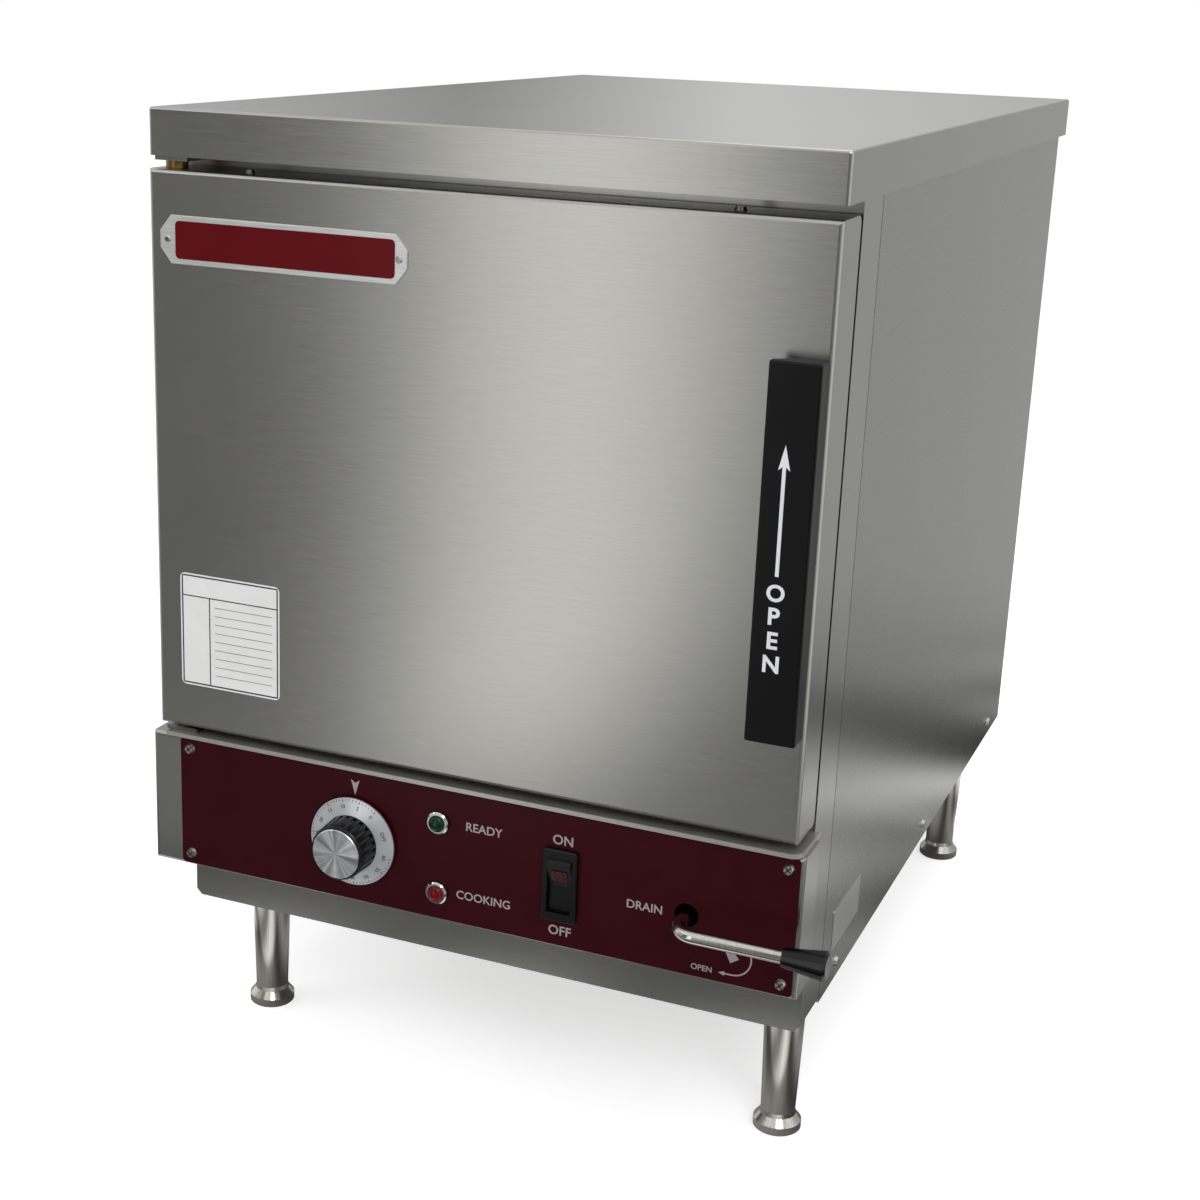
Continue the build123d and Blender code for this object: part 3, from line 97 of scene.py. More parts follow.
def linear(hex_colour):
    """An sRGB hex colour as linear red, green, blue and alpha."""
    channels = [int(hex_colour[start:start + 2], 16) / 255 for start in (1, 3, 5)]
    bright = [c / 12.92 if c <= 0.04045 else ((c + 0.055) / 1.055) ** 2.4 for c in channels]
    return (*bright, 1.0)


def new_material(name):
    """An empty material with its node tree and its shader."""
    material = bpy.data.materials.new(name)
    material.use_nodes = True
    tree = material.node_tree
    return material, tree, tree.nodes["Principled BSDF"]


def add(tree, kind, settings=None, links=None):
    """Add a node, give its sockets and properties their values, and link outputs to its inputs."""
    node = tree.nodes.new(kind)
    for key, value in (settings or {}).items():
        if isinstance(key, int) or key in node.inputs:
            node.inputs[key].default_value = value
        else:
            setattr(node, key, value)
    for key, output in (links or {}).items():
        tree.links.new(output, node.inputs[key])
    return node


def two_tone(tree, factor, dark, light):
    """The output of a node that goes from the dark hex colour to the light one."""
    mix = add(tree, "ShaderNodeMix", {"data_type": "RGBA", 6: linear(dark), 7: linear(light)},
              {"Factor": factor})
    return mix.outputs[2]


def dress(tree, shader, colour, bump):
    """Links a colour and a bump node to the shader."""
    tree.links.new(colour, shader.inputs["Base Color"])
    tree.links.new(bump.outputs["Normal"], shader.inputs["Normal"])


def seen_by_rays(tree):
    """1 for camera, glossy and transmission rays, and 0 for the rays that only carry light."""
    rays = add(tree, "ShaderNodeLightPath")
    seen = add(tree, "ShaderNodeMath", {"operation": "ADD"},
               {0: rays.outputs["Is Camera Ray"], 1: rays.outputs["Is Glossy Ray"]})
    shown = add(tree, "ShaderNodeMath", {"operation": "ADD", "use_clamp": True},
                {0: seen.outputs["Value"], 1: rays.outputs["Is Transmission Ray"]})
    return shown.outputs["Value"]


def streaked_metal(name, dark, light, grain, roughness, spread, bump, metallic=1.0):
    """Metal with one run of fine parallel streaks. grain is streaks per metre along X, Y and Z."""
    material, tree, shader = new_material(name)
    place = add(tree, "ShaderNodeTexCoord")
    run = add(tree, "ShaderNodeMapping", {"Scale": grain}, {"Vector": place.outputs["Object"]})
    streaks = add(tree, "ShaderNodeTexNoise", {"Scale": 1.0, "Detail": 4.0, "Roughness": 0.65},
                  {"Vector": run.outputs["Vector"]})
    clouds = add(tree, "ShaderNodeTexNoise", {"Scale": 9.0, "Detail": 3.0, "Roughness": 0.55},
                 {"Vector": place.outputs["Object"]})
    both = add(tree, "ShaderNodeMath", {"operation": "MULTIPLY_ADD", 1: 0.3},
               {0: clouds.outputs["Fac"], 2: streaks.outputs["Fac"]})
    tone = add(tree, "ShaderNodeMapRange", {"From Min": 0.35, "From Max": 0.95},
               {"Value": both.outputs["Value"]})
    colour = two_tone(tree, tone.outputs["Result"], dark, light)
    rough = add(tree, "ShaderNodeMapRange",
                {"To Min": roughness - spread, "To Max": roughness + spread},
                {"Value": both.outputs["Value"]})
    lines = add(tree, "ShaderNodeBump", {"Strength": bump, "Distance": 0.2 * MM},
                {"Height": streaks.outputs["Fac"]})
    shader.inputs["Metallic"].default_value = metallic
    tree.links.new(rough.outputs["Result"], shader.inputs["Roughness"])
    dress(tree, shader, colour, lines)
    return material


def moulded(name, dark, light, roughness, grit, bump, metallic=0.0, specular=0.5):
    """Moulded plastic or rubber with a fine spark-eroded grain. grit is the grain's size in mm."""
    material, tree, shader = new_material(name)
    place = add(tree, "ShaderNodeTexCoord")
    grain = add(tree, "ShaderNodeTexNoise", {"Scale": 1 / (grit * MM), "Detail": 3.0},
                {"Vector": place.outputs["Object"]})
    patches = add(tree, "ShaderNodeTexNoise", {"Scale": 40.0, "Detail": 2.0},
                  {"Vector": place.outputs["Object"]})
    colour = two_tone(tree, patches.outputs["Fac"], dark, light)
    rough = add(tree, "ShaderNodeMapRange",
                {"To Min": roughness - MOULDED_SPREAD, "To Max": roughness + MOULDED_SPREAD},
                {"Value": patches.outputs["Fac"]})
    pits = add(tree, "ShaderNodeBump", {"Strength": bump, "Distance": 0.1 * MM},
               {"Height": grain.outputs["Fac"]})
    shader.inputs["Metallic"].default_value = metallic
    shader.inputs["Specular IOR Level"].default_value = specular
    tree.links.new(rough.outputs["Result"], shader.inputs["Roughness"])
    dress(tree, shader, colour, pits)
    return material


def turned_cap(name, dark, light, x, z):
    """Spun aluminium: bumped rings round the knob's axis, and radial bands of painted highlight in
    its colour.
    """
    ring_radian = 1.2 * MM  # a whole ring is 2 pi of these
    wave_phase = 20  # the radians per unit of a wave texture at a scale of 1
    material, tree, shader = new_material(name)
    centre = at(x, 0, z)
    place = add(tree, "ShaderNodeTexCoord")
    middle = add(tree, "ShaderNodeMapping", {"Location": (-centre.x, 0.0, -centre.z)},
                 {"Vector": place.outputs["Object"]})
    parts = add(tree, "ShaderNodeSeparateXYZ", {}, {0: middle.outputs["Vector"]})
    angle = add(tree, "ShaderNodeMath", {"operation": "ARCTAN2"},
                {0: parts.outputs["Z"], 1: parts.outputs["X"]})
    painted_glints = add(tree, "ShaderNodeTexNoise", {"noise_dimensions": "1D", "Scale": 2.2, "Detail": 3.0},
               {"W": angle.outputs["Value"]})
    flat = add(tree, "ShaderNodeMapping", {"Scale": (1.0, 0.0, 1.0)},
               {"Vector": middle.outputs["Vector"]})
    rings = add(tree, "ShaderNodeTexWave", {"wave_type": "RINGS", "rings_direction": "SPHERICAL",
                                            "Scale": 1 / ring_radian / wave_phase,
                                            "Distortion": 0.6},
                {"Vector": flat.outputs["Vector"]})
    tone = add(tree, "ShaderNodeMapRange", {"From Min": 0.35, "From Max": 0.65},
               {"Value": painted_glints.outputs["Fac"]})
    colour = two_tone(tree, tone.outputs["Result"], dark, light)
    lines = add(tree, "ShaderNodeBump", {"Strength": 0.25, "Distance": 0.1 * MM},
                {"Height": rings.outputs["Fac"]})
    shader.inputs["Metallic"].default_value = 1.0
    shader.inputs["Roughness"].default_value = 0.3
    dress(tree, shader, colour, lines)
    return material


def lamp_glass(name, dark, light):
    """Coloured acrylic lens: clear, glossy, with moulded facets that break up what it shows."""
    material, tree, shader = new_material(name)
    place = add(tree, "ShaderNodeTexCoord")
    facets = add(tree, "ShaderNodeTexVoronoi", {"Scale": 1 / (2.2 * MM)},
                 {"Vector": place.outputs["Object"]})
    colour = two_tone(tree, facets.outputs["Distance"], dark, light)
    ribs = add(tree, "ShaderNodeBump", {"Strength": 0.4, "Distance": 0.3 * MM},
               {"Height": facets.outputs["Distance"]})
    shader.inputs["Roughness"].default_value = 0.2
    shader.inputs["IOR"].default_value = 1.49
    shader.inputs["Specular IOR Level"].default_value = 0.25
    dress(tree, shader, colour, ribs)
    return material


# Cold-rolled stainless, belt-brushed: the streaks run along the sheet and spread its highlights.
# The belt's lines are near 0.3 mm apart; they are drawn at 0.7 mm so that they show.
ACROSS = 1 / (0.7 * MM)
ALONG = 1 / (28 * MM)
sheet_across = streaked_metal("brushed_stainless_across", "#a2a29d", "#b1b0ab",
                              (ALONG, ACROSS, ACROSS), 0.25, 0.025, 0.012)
# The side sheet's streaks run front to back, and its colour is a little darker as painted shade.
sheet_deep = streaked_metal("brushed_stainless_deep", "#9a9a97", "#a7a7a4",
                            (ACROSS, ALONG, ACROSS), 0.26, 0.025, 0.012)
# The same sheet in the narrow ledge under the door, made paler with painted light.
# Part metal, it scatters more light, in place of what the door's underside throws on it.
ledge_steel = streaked_metal("ledge_stainless_painted_light", "#a4a29b", "#b2b0aa",
                             (ALONG, ACROSS, ACROSS), 0.3, 0.03, 0.02, metallic=0.6)
# Mill-finish stainless: duller and rolled, with hardly any direction.
mill_steel = streaked_metal("mill_stainless", "#8e8c85", "#a3a19a",
                            (140, 120, 140), 0.4, 0.06, 0.04)
# Polished stainless tube and wire: bright, with faint lines drawn along its length.
polished = streaked_metal("polished_stainless", "#b5b3ab", "#d0cec7",
                          (1 / (1.5 * MM), 1 / (1.5 * MM), 1 / (60 * MM)), 0.15, 0.03, 0.0)
# Zinc plate: slightly blue, with soft patches from the bath.
zinc = streaked_metal("zinc_plate", "#83868a", "#a3a6a8", (90, 90, 90), 0.34, 0.08, 0.04)
# Chrome plate: near mirror, with only the haze of handling.
chrome = streaked_metal("chrome_plate", "#b4b4b2", "#d2d2d0", (60, 60, 60), 0.09, 0.03, 0.0)
# Brass bar stock, turned: warm, with tool lines round it.
brass = streaked_metal("turned_brass", "#6f5630", "#94773f",
                       (90, 90, 1 / (1.2 * MM)), 0.32, 0.07, 0.08)
# Satin aluminium dial, anodised clear: pale, fine grit.
dial_metal = moulded("satin_aluminium", "#bfc1c4", "#d4d6d9", 0.34, 0.6, 0.04, metallic=0.6)
# Aluminium plate: brushed, and paler and half metal as painted light, so that it scatters light.
plate_metal = streaked_metal("brushed_aluminium_painted_light", "#b5b5b3", "#dededc",
                             (ALONG, ACROSS, ACROSS), 0.3, 0.05, 0.05, metallic=0.5)
# Foil plate: a little lighter than the side sheet that it sits on.
foil = streaked_metal("etched_foil", "#acacaa", "#bebebc",
                      (ALONG, ACROSS, ACROSS), 0.3, 0.03, 0.03, metallic=0.85)
# The cap's colour runs from dark to light in radial bands of painted highlight and shade.
spun_cap = turned_cap("spun_aluminium", "#8e8f92", "#e6e7ea", KNOB_X, KNOB_Z)
# Phenolic and nylon mouldings: near black, with a fine matt grain.
black_plastic = moulded("moulded_black_nylon", "#040405", "#0a0a0c",
                        0.3, 0.7, 0.05, specular=0.3)
grip_plastic = moulded("moulded_phenolic_grip", "#030304", "#070708",
                       0.16, 0.8, 0.01, specular=0.3)
handle_plastic = moulded("moulded_handle_nylon", "#040406", "#09090b",
                         0.36, 0.9, 0.06, specular=0.2)
grey_plastic = moulded("moulded_grey_nylon", "#76746d", "#8f8c84", 0.5, 0.9, 0.12)
# Printed polyester film over the control panel: dark red, satin.
maroon_film = moulded("printed_polyester_film", "#2e020a", "#36040d",
                      0.34, 1.2, 0.01, specular=0.1)
# Baked enamel on the nameplate: a brighter red, and glossier.
enamel = moulded("baked_maroon_enamel", "#520209", "#5e040c", 0.3, 1.0, 0.01, specular=0.15)
silicone = moulded("moulded_silicone", "#4a4947", "#5b5a57", 0.6, 0.9, 0.1)
motor_paint = moulded("baked_motor_paint", "#1a1b1d", "#27282b", 0.45, 1.5, 0.2)
wool = moulded("mineral_wool_batt", "#a08c5a", "#c9b98a", 0.95, 3.0, 1.0)
print_ink = moulded("screen_print_ink", "#8e8688", "#9d9597", 0.5, 0.8, 0.02)
white_ink = moulded("white_screen_ink", "#cfd0d4", "#dedfe2", 0.5, 0.8, 0.02)
dark_ink = moulded("dark_screen_ink", "#1d2026", "#2b2f37", 0.5, 0.8, 0.02)
blue_ink = moulded("dark_blue_screen_ink", "#1c2340", "#252d4d", 0.5, 0.8, 0.02)
vinyl = moulded("white_label_vinyl", "#d8d8d6", "#e6e6e4", 0.42, 1.2, 0.02)
# Painted shadow, for the seams between panels and the crosses in the screw heads.
shadow = moulded("recess_shadow", "#1b1a18", "#262523", 0.6, 0.8, 0.05)
green_lens = lamp_glass("green_lamp_acrylic", "#00120b", "#043a24")
red_lens = lamp_glass("red_lamp_acrylic", "#3a0002", "#7c0308")
rocker_window = lamp_glass("red_rocker_acrylic", "#1e0304", "#480809")

NODE_FINISHES = {
    sheet_across: "lid front_frame door_skin door_inner control_panel back_panel",
    ledge_steel: "drip_ledge",
    sheet_deep: "side_panel_left side_panel_right hinge_brackets",
    mill_steel: "base_pan steam_cavity fan_baffle fan_wheel heating_elements drain_pipe vent_pipe",
    polished: "legs foot_front_left foot_front_right foot_back_left foot_back_right drain_rod"
              " hinge_pins side_screws back_screws door_screws overlay_screws valve_plug"
              " pan_rack_left pan_rack_right",
    zinc: "latch_bar latch_guides latch_keepers timer_shaft fan_shaft",
    chrome: "lamp_bezels",
    brass: "hinge_washers hinge_bushes drain_valve",
    dial_metal: "dial_skirt",
    spun_cap: "knob_cap",
    black_plastic: "knob_grip rocker switch_housing contactor supply_gland",
    grip_plastic: "drain_grip",
    handle_plastic: "door_handle",
    grey_plastic: "timer_unit terminal_block",
    maroon_film: "panel_overlay",
    silicone: "door_gasket",
    motor_paint: "fan_motor",
    wool: "cavity_insulation door_core",
    rocker_window: "rocker_lens",
}


def finish_nodes():
    """Gives each node of the frame its material."""
    for material, names in NODE_FINISHES.items():
        for name in names.split():
            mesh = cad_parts[name].data
            mesh.materials.clear()
            mesh.materials.append(material)


# Pieces that the frame leaves to this scene


def as_object(bm, name, material):
    """Turns a drawing into an object of the scene."""
    mesh = bpy.data.meshes.new(name)
    bm.to_mesh(mesh)
    bm.free()
    mesh.materials.append(material)
    piece = bpy.data.objects.new(name, mesh)
    bpy.context.scene.collection.objects.link(piece)
    return piece


def keep(bm, name, material, body, place):
    """Puts a drawn piece in its place, gives it its material and lets it ride on its body.

    Bars that add_bars_at has placed are in metres already, so those thinner than 0.1 mm lose
    their thickness here and end as single faces.
    """
    bmesh.ops.remove_doubles(bm, verts=bm.verts, dist=MERGE_WITHIN)
    bmesh.ops.recalc_face_normals(bm, faces=bm.faces)
    bmesh.ops.transform(bm, matrix=place, verts=bm.verts)
    piece = as_object(bm, name, material)
    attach(piece, body)
    return piece


def thicken(bm, faces, depth):
    """Raises flat faces into closed plates of that depth, towards the viewer."""
    raised = bmesh.ops.extrude_face_region(bm, geom=faces, use_keep_orig=True)["geom"]
    points = [item for item in raised if isinstance(item, bmesh.types.BMVert)]
    bmesh.ops.translate(bm, vec=(0, 0, depth), verts=points)
    return points


def add_outline(bm, points, depth):
    """A flat plate with straight sides through a few points."""
    face = bm.faces.new([bm.verts.new((x, y, 0)) for x, y in points])
    return thicken(bm, [face], depth)


def add_bar(bm, start, end, width, depth):
    """A thin straight line of print or metal between two points."""
    start, end = Vector(start), Vector(end)
    aside = (end - start).orthogonal().normalized() * width / 2
    add_outline(bm, [start + aside, start - aside, end - aside, end + aside], depth)


def add_bars_at(bm, bars, place):
    """Bars drawn flat in millimetres, as start, end, width and depth, and placed in metres."""
    before = len(bm.verts)
    for bar in bars:
        add_bar(bm, *bar)
    bm.verts.ensure_lookup_table()
    bmesh.ops.transform(bm, matrix=place, verts=bm.verts[before:])


def add_rounded(bm, width, height, corner, depth):
    """A plate with rounded corners."""
    square = bmesh.ops.create_grid(bm, x_segments=1, y_segments=1, size=0.5)["verts"]
    bmesh.ops.scale(bm, vec=(width, height, 1), verts=square)
    rounded = bmesh.ops.bevel(bm, geom=square, offset=corner, segments=6, profile=0.5,
                              affect="VERTICES", material=-1)
    faces = list({face for point in rounded["verts"] for face in point.link_faces})
    thicken(bm, faces, depth)


def add_rivet(bm, radius, top, depth, x):
    """A round head that narrows towards its top."""
    bmesh.ops.create_cone(bm, cap_ends=True, segments=32, radius1=radius, radius2=top,
                          depth=depth, matrix=Matrix.Translation((x, 0, depth / 2)))


def words(name, text, height, material, body, place, weight=0.0):
    """Raised print of a word or number, with capitals of that height, centred on its place."""
    half_depth = 0.01
    curve = bpy.data.curves.new(name, "FONT")
    curve.body = text
    curve.align_x = "CENTER"
    curve.extrude = half_depth
    curve.offset = weight
    curve.resolution_u = 4
    holder = bpy.data.objects.new(name + "_curve", curve)
    bpy.context.scene.collection.objects.link(holder)
    bpy.context.view_layer.update()
    depsgraph = bpy.context.evaluated_depsgraph_get()
    mesh = bpy.data.meshes.new_from_object(holder.evaluated_get(depsgraph))
    bpy.data.objects.remove(holder)
    bm = bmesh.new()
    bm.from_mesh(mesh)
    bpy.data.meshes.remove(mesh)
    across = [point.co.x for point in bm.verts]
    upward = [point.co.y for point in bm.verts]
    size = height / (max(upward) - min(upward))
    middle = Vector(((min(across) + max(across)) / 2, (min(upward) + max(upward)) / 2, -half_depth))
    bmesh.ops.translate(bm, vec=-middle, verts=bm.verts)
    bmesh.ops.scale(bm, vec=(size, size, PRINT_DEPTH / (2 * half_depth)), verts=bm.verts)
    return keep(bm, name, material, body, place)


def control_panel_print():
    """Words and marks screen-printed on the control panel's film."""
    for name, text, height, x, z in (
        ("print_ready", "READY", 6.0, 19.8, 225.4),
        ("print_cooking", "COOKING", 6.0, 20.2, 176.0),
        ("print_on", "ON", 6.7, 75.0, 229.4),
        ("print_off", "OFF", 6.7, 75.0, 166.0),
        ("print_drain", "DRAIN", 5.8, 132.0, 195.8),
        ("print_drain_open", "OPEN", 4.0, 171.8, 162.4),
    ):
        words(name, text, height, print_ink, "cabinet",
              front_place(x, OVERLAY_Y, z), weight=0.014)

    bm = bmesh.new()
    add_outline(bm, [(-3.2, 5.5), (0, 3.2), (3.2, 5.5), (0, -5.5)], PRINT_DEPTH)
    keep(bm, "print_timer_pointer", print_ink, "cabinet",
         front_place(KNOB_X, OVERLAY_Y, 237.0))

    bm = bmesh.new()
    add_outline(bm, [(-8.5, 9.0), (-4.5, 9.5), (4.0, -1.5), (-1.5, -5.0)], PRINT_DEPTH)
    keep(bm, "print_drain_wedge", print_ink, "cabinet",
         front_place(DRAIN_MARK_X, OVERLAY_Y, 175.0))

    bm = bmesh.new()
    sweep_radius, line = 12.0, 1.0
    neck, point, half_head = -5.0, -9.0, 1.6
    turns = [radians(angle) for angle in range(20, -91, -10)]
    arc = [Vector((sweep_radius * cos(turn), sweep_radius * sin(turn))) for turn in turns]
    for start, end in zip(arc, arc[1:]):
        add_bar(bm, start, end, line, PRINT_DEPTH)
    add_bar(bm, (0, -sweep_radius), (neck, -sweep_radius), line, PRINT_DEPTH)
    add_outline(bm, [(point, -sweep_radius), (neck, half_head - sweep_radius),
                     (neck, -half_head - sweep_radius)], PRINT_DEPTH)
    keep(bm, "print_drain_arrow", print_ink, "cabinet",
         front_place(DRAIN_MARK_X, OVERLAY_Y, 174.0))


def handle_print():
    """The arrow and the word down the front of the door handle."""
    middle_x = 207.4
    tail, tip = 428.5, 506.4
    barbs, notch = tip - 15.0, tip - 13.0
    half_shaft, half_head = 1.1, 3.6
    bm = bmesh.new()
    add_outline(bm, [(-half_shaft, tail), (half_shaft, tail), (half_shaft, notch),
                     (half_head, barbs), (0, tip), (-half_head, barbs), (-half_shaft, notch)],
                PRINT_DEPTH)
    keep(bm, "handle_arrow", white_ink, "handle",
         front_place(middle_x, HANDLE_Y, 0))
    for letter, level in zip("OPEN", (418.5, 404.4, 389.6, 375.1)):
        words(f"handle_letter_{letter}", letter, 10.6, white_ink, "handle",
              front_place(middle_x, HANDLE_Y, level), weight=0.028)


def timer_dial_print():
    """Minute ticks and numbers on the dial, turned as the photograph shows them."""
    # The skirt's face falls back by slope_depth over slope_width, from a radius of slope_start.
    face_y = (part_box("dial_skirt")[0].y - FACE_Y) / MM
    slope_start, slope_width, slope_depth, clear = 20, 11, 3.4, 0.12
    tilt = Matrix.Rotation(radians(-17.2), 4, "X")
    zero_angle, off_angle, step = 35.0, 70, 4.85
    tick_radius, number_radius, number_height = 30, 25.6, 2.7

    def dial_place(clockwise, radius):
        depth = face_y + slope_depth * (radius - slope_start) / slope_width - clear
        turn = Matrix.Rotation(-radians(clockwise), 4, "Z")
        return front_place(KNOB_X, depth, KNOB_Z) @ turn @ Matrix.Translation((0, radius, 0)) @ tilt

    bm = bmesh.new()
    for minute in range(61):
        inner, width = (-1.8, 0.42) if minute % 5 == 0 else (-1.1, 0.3)
        add_bars_at(bm, [((0, inner), (0, 0.4), width, PRINT_DEPTH)],
                    dial_place(zero_angle - step * minute, tick_radius))
    keep(bm, "dial_ticks", dark_ink, "timer_knob", Matrix.Identity(4))
    for minute in range(0, 61, 5):
        words(f"dial_number_{minute}", str(minute), number_height, dark_ink, "timer_knob",
              dial_place(zero_angle - step * minute, number_radius))
    words("dial_word_off", "OFF", number_height, dark_ink, "timer_knob",
          dial_place(off_angle, number_radius))


def nameplate():
    """A bare nameplate: an aluminium plate with drawn ends, a maroon field and two rivets."""
    middle_x, middle_z = -130.0, 588.5
    half, tall = 88.4, 15.5
    end, shoulder = 5.5, 8.0
    rivet_in = 5.6
    bm = bmesh.new()
    corners = [(half, end), (half - shoulder, tall), (shoulder - half, tall), (-half, end)]
    loop = corners + [(x, -y) for x, y in reversed(corners)]
    points = add_outline(bm, loop, PLATE_DEPTH)
    front = [face for face in bm.faces if all(v in points for v in face.verts)]
    edges = list({edge for face in front for edge in face.edges})
    bmesh.ops.bevel(bm, geom=edges, offset=0.5, segments=2, profile=0.5, affect="EDGES",
                    material=-1)
    keep(bm, "nameplate", plate_metal, "door", front_place(middle_x, DOOR_Y, middle_z))

    bm = bmesh.new()
    add_rounded(bm, 157.0, 24.0, 3.0, 0.25)
    keep(bm, "nameplate_field", enamel, "door",
         front_place(middle_x + 1.5, DOOR_Y - PLATE_DEPTH, middle_z))

    bm = bmesh.new()
    for side in (-1, 1):
        add_rivet(bm, 2.4, 1.5, 1.0, side * (half - rivet_in))
    keep(bm, "nameplate_rivets", chrome, "door",
         front_place(middle_x, DOOR_Y - PLATE_DEPTH, middle_z))


def door_label():
    """A plain vinyl label low on the door, with a printed border and ruled lines."""
    wide, tall, margin = 76.3, 79.0, 1.6
    middle_x, middle_z = -170.8, 327.5
    header, column, first_row, row_gap = 14, 21, 20, 6
    bm = bmesh.new()
    add_rounded(bm, wide, tall, 3.5, LABEL_DEPTH)
    keep(bm, "door_label", vinyl, "door", front_place(middle_x, DOOR_Y, middle_z))
    bm = bmesh.new()
    edge_x, edge_y = wide / 2 - margin, tall / 2 - margin
    for side in (-1, 1):
        add_bar(bm, (side * edge_x, -edge_y), (side * edge_x, edge_y), 1.0, PRINT_DEPTH)
        add_bar(bm, (-edge_x, side * edge_y), (edge_x, side * edge_y), 1.0, PRINT_DEPTH)
    add_bar(bm, (-edge_x, edge_y - header), (edge_x, edge_y - header), 0.8, PRINT_DEPTH)
    add_bar(bm, (-edge_x + column, edge_y - header), (-edge_x + column, -edge_y), 0.8, PRINT_DEPTH)
    for row in range(9):
        level = edge_y - first_row - row_gap * row
        add_bar(bm, (-edge_x + column + 4, level), (edge_x - 4, level), 0.35, PRINT_DEPTH)
    keep(bm, "door_label_print", blue_ink, "door",
         front_place(middle_x, DOOR_Y - LABEL_DEPTH, middle_z))


def lamp_domes():
    """Domed lenses that stand out of the lamps' bezels, in place of the short plain ones."""
    radius, flatness, sunk = 5.9, 0.72, 0.7
    rim_y = (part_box("lamp_bezels")[0].y - FACE_Y) / MM + sunk
    for name, node, material, slot in (
        ("ready_dome", "ready_lens", green_lens, "green_lens"),
        ("cooking_dome", "cooking_lens", red_lens, "red_lens"),
    ):
        low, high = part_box(node)
        middle = (low + high) / 2
        bm = bmesh.new()
        bmesh.ops.create_uvsphere(bm, u_segments=40, v_segments=20, radius=radius)
        cut = bmesh.ops.bisect_plane(bm, geom=bm.verts[:] + bm.edges[:] + bm.faces[:],
                                     plane_co=(0, 0, 0), plane_no=(0, 0, 1), clear_inner=True)
        rim = [item for item in cut["geom_cut"] if isinstance(item, bmesh.types.BMEdge)]
        bmesh.ops.contextual_create(bm, geom=rim)
        bmesh.ops.scale(bm, vec=(1, 1, flatness), verts=bm.verts)
        dome = keep(bm, name, material, "cabinet",
                    front_place((middle.x - CENTRE_X) / MM, rim_y, middle.z / MM))
        for face in dome.data.polygons:
            facing_back = face.normal.y >= 0.9
            face.use_smooth = not facing_back
        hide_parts(node)


def rocker_ridges():
    """Two moulded ridges for the finger across the lower end of the rocker."""
    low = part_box("rocker")[0]
    lens_low, lens_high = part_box("rocker_lens")
    middle = (lens_low.x + lens_high.x) / 2
    reach = (lens_high.x - lens_low.x) / 2 / MM
    width, depth, sunk = 0.8, 0.6, 0.15
    face = BVHTree.FromObject(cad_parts["rocker"], bpy.context.evaluated_depsgraph_get())
    bm = bmesh.new()
    for rise in (3.0, 5.2):
        level = low.z + rise * MM
        touch = face.ray_cast(Vector((middle, low.y - 20 * MM, level)), Vector((0, 1, 0)))[0]
        add_bars_at(bm, [((-reach, 0), (reach, 0), width, depth)],
                    front_place((middle - CENTRE_X) / MM, (touch.y - FACE_Y) / MM + sunk,
                                level / MM))
    keep(bm, "rocker_ridges", black_plastic, "power_rocker", Matrix.Identity(4))


def spring_coils():
    """The latch's spring, as a piece of its own that rides on the door."""
    bm = bmesh.new()
    bm.from_mesh(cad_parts["latch_spring"].data)
    bmesh.ops.remove_doubles(bm, verts=bm.verts, dist=0.001 * MM)
    coils = as_object(bm, "latch_spring_coils", zinc)
    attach(coils, "door")
    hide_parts("latch_spring")
    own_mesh(coils)


def side_seams():
    """A dark line of painted shadow where each side panel meets the return of the front frame."""
    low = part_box("side_panel_right")[0]
    seam_y = (low.y - FACE_Y) / MM - 0.15
    bottom, top = low.z / MM + 1.0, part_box("lid")[0].z / MM
    width, depth = 0.9, 0.06
    for name, side in (("side_seam_right", 1), ("side_seam_left", -1)):
        bm = bmesh.new()
        add_bar(bm, (0, bottom), (0, top), width, depth)
        keep(bm, name, shadow, "cabinet",
             side_place(side * SIDE_X - depth / 2, seam_y, 0))


def side_plate():
    """A bare foil plate low on the right side."""
    bm = bmesh.new()
    add_rounded(bm, 70.0, 29.5, 1.5, 0.4)
    keep(bm, "side_foil_plate", foil, "cabinet", side_place(SIDE_X, 104.0, 150.2))


def cross_recesses():
    """A dark cross of painted shadow in each screw head that shows on the front and the right side.
    """
    arm, width, sunk = 2.3, 0.9, 0.06
    bm = bmesh.new()
    for x in (-203.5, 223.5):
        for z in (163.0, 240.9):
            add_bars_at(bm, [((-arm, -arm), (arm, arm), width, sunk),
                             ((-arm, arm), (arm, -arm), width, sunk)],
                        front_place(x, OVERLAY_Y - SCREW_HEAD, z))
    keep(bm, "panel_screw_recesses", shadow, "cabinet", Matrix.Identity(4))
    bm = bmesh.new()
    for depth in (84.0, 347.0, 609.0):
        add_bars_at(bm, [((-arm, 0), (arm, 0), width, sunk), ((0, -arm), (0, arm), width, sunk)],
                    side_place(SIDE_X + SCREW_HEAD, depth, 122.0))
    keep(bm, "side_screw_recesses", shadow, "cabinet", Matrix.Identity(4))


# Camera, light and floor


def camera():
    """The photograph's view, with its small roll and shift."""
    turn, rise, roll = radians(22.994), radians(16.877), radians(1.873)
    back = Vector((sin(turn) * cos(rise), -cos(turn) * cos(rise), sin(rise)))
    right = Vector((cos(turn), sin(turn), 0))
    up = back.cross(right)
    rolled_right = cos(roll) * right + sin(roll) * up
    rolled_up = cos(roll) * up - sin(roll) * right
    data = bpy.data.cameras.new("photo_view")
    data.sensor_width = 36.0
    data.lens = 60.40
    data.shift_x = 0.0620
    data.shift_y = -0.0059
    view = bpy.data.objects.new("photo_view", data)
    view.matrix_world = Matrix.Translation(at(510.6, -1143.6, 752.8)) @ Matrix(
        (rolled_right, rolled_up, back)).transposed().to_4x4()
    bpy.context.scene.collection.objects.link(view)
    bpy.context.scene.camera = view


